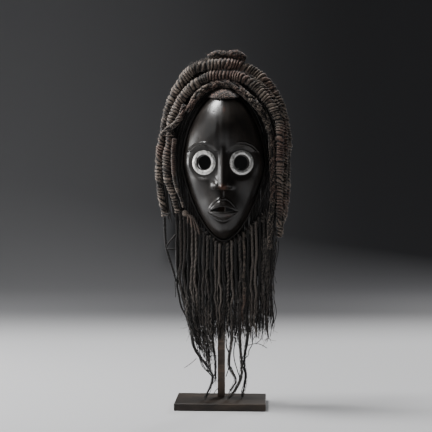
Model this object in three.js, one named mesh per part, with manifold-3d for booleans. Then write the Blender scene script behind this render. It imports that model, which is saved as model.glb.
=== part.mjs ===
// A carved wooden face mask of the Dan type on its display stand, in millimetres, +Z up.
// The origin is the middle of the base's underside, and the face looks along -Y.
// A hollow oval face with round metal eye rings carries a headdress of thick wrapped coils
// and a long beard of plaited cords that hangs from a roll round the jaw.
// Left and right are as seen from the front.
import * as THREE from "three";
import { mergeVertices } from "three/addons/utils/BufferGeometryUtils.js";
import Module from "manifold-3d";

const wasm = await Module();
wasm.setup();

// Stand
const BASE_WIDTH = 150;
const BASE_DEPTH = 100;
const BASE_THICKNESS = 12;
const BASE_CHAMFER = 0.8;
const POST_SIDE = 12;
const POST_SETBACK = 17.5;
const ARM_THICKNESS = 12;
const ARM_REACH = 24;

// Clearance between pieces that touch
const GAP = 0.3;

// Wooden face: an egg outline that is widest at FACE_Z, with a thin flange round it
const FACE_X = 4.5;
const FACE_Z = 405;
const FACE_HALF_WIDTH = 67;
const FACE_ABOVE = 120;
const FACE_BELOW = 126.5;
const DOME_DEPTH = 52;
const WALL = 9;
const FLANGE_WIDTH = 4.5;
const FLANGE_THICKNESS = 6;

// Shares that shape the outline and the dome
const CROWN_POWER = 1.8;
const CROWN_ROUNDNESS = 0.585;
const JAW_POWER = 1.3;
const JAW_ROUNDNESS = 0.57;
const DOME_FLATNESS = 2.8;
const DOME_ROUNDNESS = 0.45;

// Carved features, their heights counted from the widest line
const EYE_X = 30.5;
const EYE_RISE = 1;
const EYE_SEAT = 46.5;
const EYE_TILT = THREE.MathUtils.degToRad(17);
const EYE_HOLE_RADIUS = 13;
const EYE_SEAT_RADIUS = 21.5;
const BROW_RISE = 19;
const BROW_ARC_RADIUS = 32.5;
const FOREHEAD_RISE = 67;
const NOSE_ROOT_RISE = 15;
const NOSE_LENGTH = 52;
const NOSE_HEIGHT = 21;
const NOSE_HALF_WIDTH = 9.5;
const CHEEK_DROP = 27;
const JAW_HOLLOW_DROP = 60;
const MOUTH_DROP = 78;
const MOUTH_HALF_WIDTH = 21;
const MOUTH_HEIGHT = 9;
const LIP_HALF_WIDTH = 24.5;
const LIP_PEAK = 21.5;
const CHIN_DROP = 109;

// Sheet metal eye rings
const RING_OUTER_RADIUS = 20.5;
const RING_SHEET = 1.2;
const RING_CROWN = 1.5;
const RING_LIP = 3;

// Felted fibre pad at the top of the forehead
const PAD_HALF_WIDTH = 26;
const PAD_BELOW_CROWN = 15;
const PAD_HEIGHT = 21;
const PAD_PROUD = 6;

// Beard: a roll that follows the jaw, and the cords tied round it
const ROLL_RADIUS = 4.2;
const ROLL_FORWARD = 4.4;
const ROLL_BELOW_CHIN = 11.2;
const ROLL_SWEEP = 8;
const ROLL_PAST_LEFT = 17;
const ROLL_PAST_RIGHT = 17;
const CORD_COUNT = 25;
const CORD_RADIUS = 2.05;
const CORD_LENGTH = 133;
const CORD_MARGIN = 4;
const SWING_RISE = 95;
const REAR_STRANDS = 14;
const REAR_STRAND_RADIUS = 2;
const JAW_LOCK_RADIUS = 5;
const JAW_LOCK_COUNT = 3;
const KNOT_RADIUS = 6;
const STRAY_RADIUS = 1.3;

const POST_FRONT = POST_SETBACK - POST_SIDE / 2;
const RIM_Y = POST_FRONT - GAP;
const BASE_REST = BASE_THICKNESS + GAP;
const CROWN_Z = FACE_Z + FACE_ABOVE;
const CHIN_EDGE_Z = FACE_Z - FACE_BELOW - FLANGE_WIDTH;
const EYE_Z = FACE_Z + EYE_RISE;
const BROW_Z = FACE_Z + BROW_RISE;
const NOSE_ROOT_Z = FACE_Z + NOSE_ROOT_RISE;
const NOSE_TIP_Z = NOSE_ROOT_Z - NOSE_LENGTH;
const MOUTH_Z = FACE_Z - MOUTH_DROP;
const PAD_LOW_Z = CROWN_Z - PAD_BELOW_CROWN;

const wood = new THREE.MeshStandardMaterial({ color: 0x1a1613, roughness: 0.32, metalness: 0 });
const tin = new THREE.MeshStandardMaterial({ color: 0xb9b6ae, roughness: 0.38, metalness: 1 });
const coilFibre = new THREE.MeshStandardMaterial({ color: 0x3a2a22, roughness: 0.85, metalness: 0 });
const beardFibre = new THREE.MeshStandardMaterial({ color: 0x1f1a18, roughness: 0.8, metalness: 0 });
const feltFibre = new THREE.MeshStandardMaterial({ color: 0x4a3024, roughness: 0.95, metalness: 0 });
const patinatedSteel = new THREE.MeshStandardMaterial({ color: 0x2b241f, roughness: 0.45, metalness: 0.6 });

const { clamp, smoothstep, lerp } = THREE.MathUtils;
const bell = (distance, width) => Math.exp(-((distance / width) ** 2));

// A closed geometry as a solid that can be joined and cut.
function solidOf(geometry) {
  const bare = geometry.clone();
  bare.deleteAttribute("normal");
  bare.deleteAttribute("uv");
  const merged = mergeVertices(bare, 1e-4);
  return new wasm.Manifold(
    new wasm.Mesh({
      numProp: 3,
      vertProperties: new Float32Array(merged.attributes.position.array),
      triVerts: new Uint32Array(merged.index.array),
    }),
  );
}

function geometryOf(solid) {
  const mesh = solid.getMesh();
  const geometry = new THREE.BufferGeometry();
  geometry.setAttribute("position", new THREE.BufferAttribute(mesh.vertProperties, 3));
  geometry.setIndex(new THREE.BufferAttribute(mesh.triVerts, 1));
  geometry.computeVertexNormals();
  return geometry;
}

function geometryFrom(positions, indices) {
  const geometry = new THREE.BufferGeometry();
  geometry.setAttribute("position", new THREE.Float32BufferAttribute(positions, 3));
  geometry.setIndex(indices);
  geometry.computeVertexNormals();
  return geometry;
}

function piece(name, geometry, material) {
  const mesh = new THREE.Mesh(geometry, material);
  mesh.name = name;
  return mesh;
}

// Share of the half width at height share t, from 0 at the widest line to 1 at the tip.
function outlineShare(t) {
  const [power, roundness] = t > 0 ? [CROWN_POWER, CROWN_ROUNDNESS] : [JAW_POWER, JAW_ROUNDNESS];
  return Math.max(0, 1 - Math.abs(t) ** power) ** roundness;
}

const heightAt = (t, grow) => FACE_Z + t * ((t > 0 ? FACE_ABOVE : FACE_BELOW) + grow);

// How far a point of the face lies from the middle, 0, to the rim, 1.
function rimShare(x, z, grow) {
  const t = clamp((z - FACE_Z) / ((z > FACE_Z ? FACE_ABOVE : FACE_BELOW) + grow), -1, 1);
  const across = clamp(x / Math.max(1e-6, (FACE_HALF_WIDTH + grow) * outlineShare(t)), -1, 1);
  return Math.min(1, Math.hypot(t, across * Math.sqrt(1 - t * t)));
}

const domeHeight = (share, depth) => depth * Math.max(0, 1 - share ** DOME_FLATNESS) ** DOME_ROUNDNESS;

function noseRelief(x, z) {
  const down = clamp((NOSE_ROOT_Z - z) / (NOSE_ROOT_Z - NOSE_TIP_Z), 0, 1);
  const height = lerp(0.28, 1, down ** 1.25) * NOSE_HEIGHT;
  const halfWidth = lerp(0.62, 1, down) * NOSE_HALF_WIDTH;
  const underside = smoothstep(z, NOSE_TIP_Z - 7, NOSE_TIP_Z - 1);
  const root = 1 - smoothstep(z, NOSE_ROOT_Z - 8, NOSE_ROOT_Z + 20);
  const bridge = height * bell(x, halfWidth) * underside * root;
  const wing = 9 * bell(Math.abs(x) - 11.5, 6) * bell(z - NOSE_TIP_Z - 1, 8) * underside;
  return Math.max(bridge, bridge * 0.55 + wing);
}

// The raised edge of the upper lip, a shallow bow that dips in the middle.
const upperLipEdge = (x) =>
  MOUTH_Z + lerp(LIP_PEAK, 0, clamp(Math.abs(x) / LIP_HALF_WIDTH, 0, 1) ** 1.5) - 2.4 * bell(x, 3.5);

function mouthRelief(x, z) {
  const muzzle = 11 * bell(x, 30) * bell(z - MOUTH_Z - 4, 25);
  const within = 1 - smoothstep(Math.abs(x), LIP_HALF_WIDTH * 0.7, LIP_HALF_WIDTH * 1.08);
  const edge = 2 * bell(z - upperLipEdge(x), 2.6);
  const upper = 4.5 * smoothstep(upperLipEdge(x) - z, -1, 10) * smoothstep(z, MOUTH_Z - 1, MOUTH_Z + 5);
  const fromLip = (x / LIP_HALF_WIDTH) ** 2 + ((z - MOUTH_Z + 6.5) / 8) ** 2;
  const lower = 7.5 * Math.sqrt(Math.max(0, 1 - fromLip));
  return muzzle + (edge + upper) * within + lower;
}

function browRelief(x, z) {
  const side = Math.abs(x);
  const ledge = 3.4 * smoothstep(z, BROW_Z - 2, BROW_Z + 2) * Math.exp(-Math.max(0, z - BROW_Z) / 30);
  const span = smoothstep(side, 4, 12) * (1 - smoothstep(side, 52, 64));
  const fromEye = Math.hypot(side - EYE_X, z - EYE_Z);
  const arc = 1.4 * bell(fromEye - BROW_ARC_RADIUS, 2) * smoothstep(z, EYE_Z + 19, EYE_Z + 25);
  return ledge * span + arc;
}

// Height of the carving over the plain dome.
function relief(x, z) {
  const side = Math.abs(x);
  const forehead = 12 * bell(x, 46) * bell(z - FACE_Z - FOREHEAD_RISE, 40);
  const ridge = 1.3 * bell(x, 5) * smoothstep(z, BROW_Z, BROW_Z + 20);
  const eyeBand = -4 * bell(z - EYE_Z, 17) * smoothstep(side, 6, 14);
  const temple = 8 * bell(side - 60, 9) * bell(z - EYE_Z, 18);
  const cheek = 3 * bell(side - 40, 16) * bell(z - FACE_Z + CHEEK_DROP, 16);
  const jawHollow = -3 * bell(side - 36, 13) * bell(z - FACE_Z + JAW_HOLLOW_DROP, 18);
  const chin = 8 * bell(x, 20) * bell(z - FACE_Z + CHIN_DROP, 14);
  const plain = forehead + ridge + eyeBand + temple + cheek + jawHollow + chin;
  return plain + browRelief(x, z) + noseRelief(x, z) + mouthRelief(x, z);
}

// Height of the carved face above the plane of its rim, with a flat seat round each eye.
function carvedHeight(x, z, share, depth) {
  const free = domeHeight(share, depth) + relief(x, z) * (1 - smoothstep(share, 0.9, 0.995));
  const outwards = Math.abs(x) - EYE_X;
  const seat = EYE_SEAT - 0.5 + depth - DOME_DEPTH - outwards * Math.tan(EYE_TILT);
  const nearEye = 1 - smoothstep(Math.hypot(outwards, z - EYE_Z), EYE_SEAT_RADIUS, EYE_SEAT_RADIUS + 9);
  const besideNose = smoothstep(Math.abs(x), 6, 11);
  return lerp(free, seat, nearEye * besideNose);
}

// Grid lines from -1 to 1 that crowd towards the middle by the given strength.
function gridLines(count, strength) {
  return Array.from({ length: count + 1 }, (_, i) => {
    const s = (2 * i) / count - 1;
    return s * (1 - strength + strength * Math.abs(s) ** 0.7);
  });
}

// A dome over the face outline: a square grid drawn out to a disc and closed by a flat back.
function domeSolid({ columns, rows, grow = 0, depth = DOME_DEPTH, backY = RIM_Y, carved = false }) {
  const positions = [];
  const indices = [];
  for (const b of gridLines(rows, 0.15)) {
    for (const a of gridLines(columns, 0.5)) {
      const u = a * Math.sqrt(1 - (b * b) / 2);
      const v = b * Math.sqrt(1 - (a * a) / 2);
      const r = Math.min(1, Math.hypot(u, v));
      const share = Math.sin((Math.PI / 2) * r);
      const scale = r > 1e-9 ? share / r : Math.PI / 2;
      const t = clamp(v * scale, -1, 1);
      const halfWidth = (FACE_HALF_WIDTH + grow) * outlineShare(t);
      const x = (halfWidth * u * scale) / Math.sqrt(Math.max(1e-9, 1 - t * t));
      const z = heightAt(t, grow);
      const height = carved ? carvedHeight(x, z, share, depth) : domeHeight(share, depth);
      positions.push(x, RIM_Y - height, z);
    }
  }
  const wide = columns + 1;
  for (let j = 0; j < rows; j++) {
    for (let i = 0; i < columns; i++) {
      const k = j * wide + i;
      indices.push(k, k + 1, k + wide + 1, k, k + wide + 1, k + wide);
    }
  }
  const rim = [];
  for (let i = 0; i < columns; i++) rim.push(i);
  for (let j = 0; j < rows; j++) rim.push(j * wide + columns);
  for (let i = columns; i > 0; i--) rim.push(rows * wide + i);
  for (let j = rows; j > 0; j--) rim.push(j * wide);
  const backStart = positions.length / 3;
  for (const k of rim) positions.push(positions[3 * k], backY, positions[3 * k + 2]);
  const middle = positions.length / 3;
  positions.push(0, backY, FACE_Z);
  rim.forEach((k, n) => {
    const next = (n + 1) % rim.length;
    indices.push(middle, backStart + next, backStart + n);
    if (backY > RIM_Y) {
      indices.push(k, backStart + n, backStart + next, k, backStart + next, rim[next]);
    }
  });
  return solidOf(geometryFrom(positions, indices));
}

// A bar along Y between two depths, with a section drawn in X and Z.
function barAlongY(shape, frontY, backY, curveSegments = 1) {
  const geometry = new THREE.ExtrudeGeometry(shape, {
    depth: backY - frontY,
    bevelEnabled: false,
    curveSegments,
  });
  geometry.rotateX(Math.PI / 2);
  geometry.translate(0, backY, 0);
  return solidOf(geometry);
}

function outlineShape(grow) {
  const count = 48;
  const points = Array.from({ length: count }, (_, i) => {
    const angle = (2 * Math.PI * i) / count;
    const t = Math.sin(angle);
    const side = Math.abs(Math.cos(angle)) < 1e-9 ? 0 : Math.sign(Math.cos(angle));
    return new THREE.Vector2(side * (FACE_HALF_WIDTH + grow) * outlineShare(t), heightAt(t, grow));
  });
  return new THREE.Shape(points);
}

// Sets a geometry that was made round the Y axis, with its front at Y = 0, on an eye's seat.
function setOnEye(geometry, side) {
  geometry.rotateZ(side * EYE_TILT);
  geometry.translate(side * EYE_X, RIM_Y - EYE_SEAT, EYE_Z);
  return geometry;
}

function eyeRod(side, radius, front, back) {
  const geometry = new THREE.CylinderGeometry(radius, radius, front + back, 24);
  geometry.translate(0, (back - front) / 2, 0);
  return solidOf(setOnEye(geometry, side));
}

function mouthSlot() {
  const shape = new THREE.Shape();
  shape.moveTo(-MOUTH_HALF_WIDTH, MOUTH_Z);
  shape.quadraticCurveTo(0, MOUTH_Z - 4, MOUTH_HALF_WIDTH, MOUTH_Z);
  shape.quadraticCurveTo(0, MOUTH_Z + 2 * MOUTH_HEIGHT - 4, -MOUTH_HALF_WIDTH, MOUTH_Z);
  return barAlongY(shape, RIM_Y - 2 * DOME_DEPTH, RIM_Y, 5);
}

const hollow = (shrink, backY) =>
  domeSolid({ columns: 10, rows: 14, grow: -WALL - shrink, depth: DOME_DEPTH - WALL - 2 - shrink, backY });

function faceGeometry() {
  let face = domeSolid({ columns: 22, rows: 32, carved: true });
  face = face.add(barAlongY(outlineShape(FLANGE_WIDTH), RIM_Y - FLANGE_THICKNESS, RIM_Y));
  for (const side of [-1, 1]) {
    face = face.add(eyeRod(side, EYE_SEAT_RADIUS, 0, 22));
    face = face.subtract(eyeRod(side, EYE_SEAT_RADIUS, DOME_DEPTH, 0));
  }
  face = face.subtract(hollow(0, RIM_Y + 5));
  for (const side of [-1, 1]) {
    face = face.subtract(eyeRod(side, EYE_HOLE_RADIUS, DOME_DEPTH, DOME_DEPTH));
  }
  return geometryOf(face.subtract(mouthSlot()));
}

// A sheet metal washer with a crowned face and a lip turned into the eye hole.
function eyeRing(side) {
  const outer = EYE_HOLE_RADIUS - GAP;
  const inner = outer - RING_SHEET;
  const crown = (RING_OUTER_RADIUS + outer) / 2;
  const profile = [
    [inner, RING_LIP],
    [outer, RING_LIP],
    [outer, -GAP],
    [RING_OUTER_RADIUS, -GAP],
    [RING_OUTER_RADIUS, -GAP - RING_SHEET / 2],
    [crown, -GAP - RING_SHEET / 2 - RING_CROWN],
    [inner, -GAP - RING_SHEET],
    [inner, RING_LIP],
  ].map(([radius, height]) => new THREE.Vector2(radius, height));
  return setOnEye(new THREE.LatheGeometry(profile.reverse(), 24), side);
}

function foreheadPad() {
  const shape = new THREE.Shape();
  const top = PAD_LOW_Z + PAD_HEIGHT;
  shape.moveTo(-PAD_HALF_WIDTH, PAD_LOW_Z + 5);
  shape.quadraticCurveTo(0, PAD_LOW_Z - 5, PAD_HALF_WIDTH, PAD_LOW_Z + 5);
  shape.quadraticCurveTo(PAD_HALF_WIDTH * 0.8, top, 0, top);
  shape.quadraticCurveTo(-PAD_HALF_WIDTH * 0.8, top, -PAD_HALF_WIDTH, PAD_LOW_Z + 5);
  const skin = (proud) =>
    domeSolid({ columns: 22, rows: 32, grow: proud, depth: DOME_DEPTH + proud, carved: true });
  const blank = barAlongY(shape, RIM_Y - 2 * DOME_DEPTH, RIM_Y - FLANGE_THICKNESS - GAP, 5);
  return geometryOf(skin(PAD_PROUD).intersect(blank).subtract(skin(2 * GAP)));
}

// A closed tube along a smooth path through the given points, its radius a function of the
// share of its length, with blunt ends.
function sweptTube(points, radiusAt, steps, sides) {
  const path = new THREE.CatmullRomCurve3(points.map((p) => new THREE.Vector3(...p)), false, "centripetal");
  const { tangents, normals, binormals } = path.computeFrenetFrames(steps, false);
  const positions = [];
  const indices = [];
  for (let k = 0; k <= steps; k++) {
    const centre = path.getPointAt(k / steps);
    for (let j = 0; j < sides; j++) {
      const angle = (2 * Math.PI * j) / sides;
      const p = centre.clone();
      p.addScaledVector(normals[k], radiusAt(k / steps) * Math.cos(angle));
      p.addScaledVector(binormals[k], radiusAt(k / steps) * Math.sin(angle));
      positions.push(p.x, p.y, p.z);
    }
  }
  for (let k = 0; k < steps; k++) {
    for (let j = 0; j < sides; j++) {
      const a = k * sides + j;
      const b = k * sides + ((j + 1) % sides);
      indices.push(a, b, b + sides, a, b + sides, a + sides);
    }
  }
  for (const [k, outwards] of [[0, -1], [steps, 1]]) {
    const tip = path.getPointAt(k / steps);
    tip.addScaledVector(tangents[k], outwards * radiusAt(k / steps) * 0.5);
    const pole = positions.length / 3;
    positions.push(tip.x, tip.y, tip.z);
    for (let j = 0; j < sides; j++) {
      const a = k * sides + j;
      const b = k * sides + ((j + 1) % sides);
      indices.push(pole, outwards > 0 ? a : b, outwards > 0 ? b : a);
    }
  }
  return geometryFrom(positions, indices);
}

// A radius that runs through evenly spaced values along a tube.
function radiusThrough(values) {
  return (share) => {
    const place = share * (values.length - 1);
    const k = Math.min(values.length - 2, Math.floor(place));
    return lerp(values[k], values[k + 1], smoothstep(place - k, 0, 1));
  };
}

// Headdress: each coil's middle line, from its left end over the crown to its right end, and its
// radius along the way. A point beside the face is its distance outside the widest line, its
// depth behind the rim's plane and its height over the widest line. A point over the crown is a
// share of the half width, its depth and its height over the top of the face.
const COILS = {
  outer_coil: {
    left: [[32, 0.8, -89], [40, 0.8, -46], [42.3, 0.8, 4], [33.5, 1.8, 60]],
    crown: [[-1.31, 1.8, -15], [-0.79, -1.2, 35], [-0.045, -4.2, 44.4], [0.49, 5.8, 40.4], [1.03, 10.3, 17],
      [1.42, 10.3, -25]],
    right: [[36.5, 10.4, 58], [40, 10.2, 36], [38, 10, 14], [36.5, 9.8, -25], [33, 9.2, -70], [25.5, 5, -124]],
    radius: [5, 5.6, 6, 8.2, 9.4, 8.4, 7, 6.4, 8.2, 4],
    steps: 30,
  },
  second_coil: {
    left: [[10, -7.2, -83], [16, -7.2, -59], [27.5, -7.2, -22], [27.5, -7.2, 14], [22.5, -7.2, 42],
      [21, -7.2, 67]],
    crown: [[-1, -8.2, -8], [-0.51, -9.2, 20], [-0.045, -8.2, 26.5], [0.55, -9.7, 18.5],
      [1.03, -10.2, -11]],
    right: [[24, -12.7, 72], [26.5, -14, 35], [26, -14, -13], [25.5, -13, -71], [24.5, -12.2, -107]],
    radius: [4, 6.6, 6.8, 7.6, 8, 7.6, 6.9, 6.8, 5.4, 4],
    steps: 28,
  },
  inner_coil: {
    crown: [[-0.89, -16.2, -36], [-0.69, -16.2, -11], [-0.42, -13.2, 5], [-0.045, -12.2, 11.8],
      [0.25, -14.2, 8.5], [0.55, -18.2, -7], [0.75, -19.2, -19.5], [0.925, -17.2, -34.5]],
    right: [[4.5, -15.2, 69], [11, -14.2, 47], [13, -14.2, 4], [15, -17, -42], [13.5, -16.2, -70],
      [10, -14.2, -104], [9.5, -14.2, -143]],
    radius: [5, 6.4, 6.4, 6.2, 5.4, 5, 5, 4.6, 3.6],
    steps: 24,
  },
  shoulder_coil: {
    crown: [[0.48, -0.9, 29.5], [0.72, -0.7, 21.5], [0.985, -0.9, 6], [1.36, -1.7, -28]],
    right: [[33.5, -2.7, 56], [35, -3.1, 23], [34, -3.8, -25], [32.5, -4.4, -60], [30.5, -5.6, -97]],
    radius: [2.6, 4.9, 5.3, 5.2, 5, 3.4],
    steps: 20,
  },
  temple_braid: {
    left: [[35.5, -18.2, 48.5], [25.8, -21.2, 56], [12.5, -23.2, 65.5]],
    crown: [[-1.045, -24.2, -41], [-0.96, -25.2, -23.5]],
    radius: [3.4, 4.6, 4.8, 4.2],
    steps: 9,
  },
  inner_left_lock: {
    left: [[-0.5, -17.4, -73], [4, -17.2, -58], [12.5, -18.2, -36], [16.5, -18.2, -2], [16.5, -18.2, 20],
      [14, -16.2, 42]],
    radius: [2.4, 3, 3.6, 3.6],
    steps: 11,
  },
  rear_coil: {
    left: [[9, 6.8, -11], [10, 7.3, 20], [2, 7.3, 60]],
    crown: [[-0.75, 7.8, -20], [-0.39, 7.8, 1], [0, 7.8, 7], [0.39, 7.8, 1], [0.75, 7.8, -20]],
    right: [[2, 7.3, 60], [10, 7.3, 20], [9, 6.8, -11]],
    radius: [3.4, 5, 5.8, 6.8, 7.2, 6.8, 5.8, 5, 3.4],
    steps: 22,
  },
  topknot: {
    crown: [[-0.4, 4.8, 56], [-0.21, 2.8, 60.5], [0.06, 2.8, 59.5], [0.28, 3.8, 61], [0.55, 4.8, 53]],
    radius: [4.6, 7.4, 6.2, 7.8, 5],
    steps: 12,
  },
};

const besideFace = (side) => ([outside, depth, rise]) =>
  [side * (FACE_HALF_WIDTH + outside), RIM_Y + depth, FACE_Z + rise];
const overCrown = ([share, depth, rise]) => [share * FACE_HALF_WIDTH, RIM_Y + depth, CROWN_Z + rise];

function headdress() {
  return Object.entries(COILS).map(([name, { left = [], crown = [], right = [], radius, steps }]) => {
    const route = [...left.map(besideFace(-1)), ...crown.map(overCrown), ...right.map(besideFace(1))];
    return piece(name, sweptTube(route, radiusThrough(radius), steps, 7), coilFibre);
  });
}

const ROLL_LOW_Z = CHIN_EDGE_Z - ROLL_BELOW_CHIN;
const ROLL_RISE = 0.41 * FACE_BELOW;
const ROLL_SPAN = 0.97 * FACE_HALF_WIDTH;
const ROLL_LEFT = -FACE_HALF_WIDTH - ROLL_PAST_LEFT;
const ROLL_RIGHT = FACE_HALF_WIDTH + ROLL_PAST_RIGHT;
const rollZ = (x) => ROLL_LOW_Z + ROLL_RISE * (Math.hypot(x, 9) / ROLL_SPAN) ** 1.25;
const CORD_END_Z = ROLL_LOW_Z - CORD_LENGTH;
const rollY = (x) => RIM_Y - ROLL_FORWARD + ROLL_SWEEP * (x / ROLL_SPAN) ** 2;

// The longest cords go on below the others, down to the base: the points of each one's tail.
const TAILS = {
  3: [[-51.6, -0.8, 106], [-45, -2, 90], [-34.5, -4, 76], [-18, -7, 51], [-24.5, -10, 27],
    [-31, -12, BASE_REST + 2.4]],
  9: [[-19, 0, 112], [-14.5, 0, 80], [-13.5, -2, 44]],
  14: [[13.5, -1, 112], [8.8, -2, 68], [20.5, -4, 43], [11, -6, 26]],
  16: [[27, 0, 112], [29.7, -4, 52], [20.5, -9, 29], [7.5, -14, BASE_REST + 2.4]],
  18: [[40, 3, 118], [34, 3, 74], [37, 1, 50], [31, -1, BASE_REST + 2.4]],
};

// How far a cord at the beard's left side has swung inwards at a height.
const inwardsAt = (x, z) =>
  0.55 * Math.max(0, -40 - x) * Math.max(0, (CORD_END_Z + SWING_RISE - z) / SWING_RISE) ** 1.6;

// One cord's middle line: round the front of the roll, then down with a slow wave.
function cordRoute(index) {
  const x = lerp(ROLL_LEFT + CORD_MARGIN, ROLL_RIGHT - CORD_MARGIN, index / (CORD_COUNT - 1));
  const y = rollY(x) - ROLL_RADIUS - 2 * GAP - CORD_RADIUS;
  const low = CORD_END_Z + 13 * Math.sin(index * 2.4) - 0.2 * Math.max(0, Math.abs(x) - 55);
  const points = [];
  for (const share of [0, 0.04, 0.25, 0.5, 0.75, 1]) {
    const wave = 1.1 * Math.sin(5.5 * share + 0.35 * index) * smoothstep(share, 0, 0.25);
    const z = lerp(rollZ(x) + ROLL_RADIUS, low, share);
    points.push([x + wave + inwardsAt(x, z), y - 0.04 * Math.max(0, Math.abs(x) - 40) * share, z]);
  }
  const tail = TAILS[index];
  return tail ? points.slice(0, -1).concat(tail) : points;
}

// The wrapped cord that ends in a point, right of the middle.
const CONE_CORD = 17;

function cordGeometry(index) {
  const route = cordRoute(index);
  const steps = TAILS[index] ? 15 : 8;
  const cone = radiusThrough([CORD_RADIUS, CORD_RADIUS, CORD_RADIUS, 3.3, 3, 2, 1]);
  const plain = (share) => CORD_RADIUS * lerp(1, 0.72, smoothstep(share, 0.5, 1));
  return sweptTube(route, index === CONE_CORD ? cone : plain, steps, 4);
}

// The roll with its rear strands, which are tied into it.
function rollGeometry() {
  const along = (count) =>
    Array.from({ length: count }, (_, i) => lerp(ROLL_LEFT, ROLL_RIGHT, i / (count - 1)));
  const line = along(13).map((x) => [x, rollY(x), rollZ(x)]);
  let roll = solidOf(sweptTube(line, () => ROLL_RADIUS, 18, 6));
  for (let i = 0; i < REAR_STRANDS; i++) {
    const x = lerp(ROLL_LEFT + 6, ROLL_RIGHT - 6, (i + 0.5) / REAR_STRANDS);
    const low = CORD_END_Z + 16 * Math.sin(i * 1.9 + 1);
    const middle = lerp(rollZ(x), low, 0.7);
    const strand = [
      [x, rollY(x) + 0.5, rollZ(x)],
      [x, rollY(x) + 0.5, rollZ(x) - 30],
      [x + inwardsAt(x, middle), rollY(x), middle],
      [x + inwardsAt(x, low), rollY(x) - 0.5, low],
    ];
    roll = roll.add(solidOf(sweptTube(strand, () => REAR_STRAND_RADIUS, 4, 4)));
  }
  return geometryOf(roll);
}

// Height of the flange's edge on the jaw at a distance from the middle.
const jawEdgeZ = (x) => {
  const across = Math.abs(x) / (FACE_HALF_WIDTH + FLANGE_WIDTH);
  const t = (1 - across ** (1 / JAW_ROUNDNESS)) ** (1 / JAW_POWER);
  return FACE_Z - t * (FACE_BELOW + FLANGE_WIDTH);
};

// A thick lock tied behind the flange, which fills the corner between jaw and coils.
function jawLock(side, index) {
  const pitch = 2 * JAW_LOCK_RADIUS + 2 * GAP;
  const x = side * (FACE_HALF_WIDTH - 1 - (JAW_LOCK_COUNT - 1 - index) * pitch);
  const behindRoll = rollY(x) + ROLL_RADIUS + 3 * GAP + JAW_LOCK_RADIUS;
  const route = [
    [x, RIM_Y + GAP + 0.8 * JAW_LOCK_RADIUS, jawEdgeZ(x) + 12],
    [x, behindRoll, rollZ(x) + 9],
    [x, behindRoll + 0.5, rollZ(x) - 12],
    [0.97 * x, behindRoll - 1, lerp(ROLL_LOW_Z, CORD_END_Z, 0.25)],
    [0.9 * x, behindRoll - 2, lerp(ROLL_LOW_Z, CORD_END_Z, 0.66)],
  ];
  const taper = radiusThrough([0.8, 1, 1, 0.8, 0.5].map((share) => share * JAW_LOCK_RADIUS));
  return sweptTube(route, taper, 8, 6);
}

function beardKnot() {
  const geometry = new THREE.SphereGeometry(KNOT_RADIUS, 10, 7);
  geometry.scale(1, 0.8, 0.9);
  geometry.translate(3 - FACE_HALF_WIDTH, rollY(FACE_HALF_WIDTH) - 14.5, rollZ(FACE_HALF_WIDTH) + 4.6);
  return geometry;
}

function beard() {
  const cords = Array.from({ length: CORD_COUNT }, (_, i) =>
    piece(`beard_cord_${String(i + 1).padStart(2, "0")}`, cordGeometry(i), beardFibre),
  );
  const stray = [[32.6, 0.8, -93.4], [30, -1.2, -138], [26, -1.2, -155], [18, -2.6, -180],
    [13, -5, -198]];
  const jawLocks = [-1, 1].flatMap((side) =>
    Array.from({ length: JAW_LOCK_COUNT }, (_, i) =>
      piece(`${side < 0 ? "left" : "right"}_jaw_lock_${i + 1}`, jawLock(side, i), beardFibre),
    ),
  );
  return [
    piece("beard_roll", rollGeometry(), beardFibre),
    piece("beard_knot", beardKnot(), feltFibre),
    piece("hanging_stray_cord", sweptTube(stray.map(besideFace(-1)), () => STRAY_RADIUS, 9, 5), beardFibre),
    ...jawLocks,
    ...cords,
  ];
}

function standBase() {
  const shape = new THREE.Shape();
  shape.moveTo(-BASE_WIDTH / 2, -BASE_DEPTH / 2);
  shape.lineTo(BASE_WIDTH / 2, -BASE_DEPTH / 2);
  shape.lineTo(BASE_WIDTH / 2, BASE_DEPTH / 2);
  shape.lineTo(-BASE_WIDTH / 2, BASE_DEPTH / 2);
  const geometry = new THREE.ExtrudeGeometry(shape, {
    depth: BASE_THICKNESS - 2 * BASE_CHAMFER,
    bevelThickness: BASE_CHAMFER,
    bevelSize: BASE_CHAMFER,
    bevelOffset: -BASE_CHAMFER,
    bevelSegments: 1,
  });
  geometry.translate(0, 0, BASE_CHAMFER);
  return geometry;
}

// Highest point of the hollow over the arm's front end, by halving the interval.
function hollowCeiling() {
  const depth = DOME_DEPTH - WALL - 2;
  const share = (1 - (ARM_REACH / depth) ** (1 / DOME_ROUNDNESS)) ** (1 / DOME_FLATNESS);
  let low = FACE_Z;
  let high = FACE_Z + FACE_ABOVE;
  for (let i = 0; i < 30; i++) {
    const z = (low + high) / 2;
    if (rimShare(FACE_X + POST_SIDE / 2, z, -WALL) < share) low = z;
    else high = z;
  }
  return low;
}

// The post and the short arm that reaches into the hollow and carries the mask.
function standPost() {
  const top = hollowCeiling();
  const post = new THREE.BoxGeometry(POST_SIDE, POST_SIDE, top - BASE_REST);
  post.translate(0, POST_SETBACK, (top + BASE_REST) / 2);
  const arm = new THREE.BoxGeometry(POST_SIDE, ARM_REACH + POST_SIDE / 2, ARM_THICKNESS);
  arm.translate(0, POST_SETBACK - (ARM_REACH + POST_SIDE / 2) / 2, top - ARM_THICKNESS / 2);
  const room = hollow(GAP, POST_SETBACK + POST_SIDE).translate([FACE_X, 0, 0]);
  return geometryOf(solidOf(post).add(solidOf(arm).intersect(room)));
}

const head = new THREE.Group();
head.position.x = FACE_X;
head.add(
  piece("wooden_face", faceGeometry(), wood),
  piece("left_eye_ring", eyeRing(-1), tin),
  piece("right_eye_ring", eyeRing(1), tin),
  piece("forehead_pad", foreheadPad(), feltFibre),
  ...headdress(),
  ...beard(),
);

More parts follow.
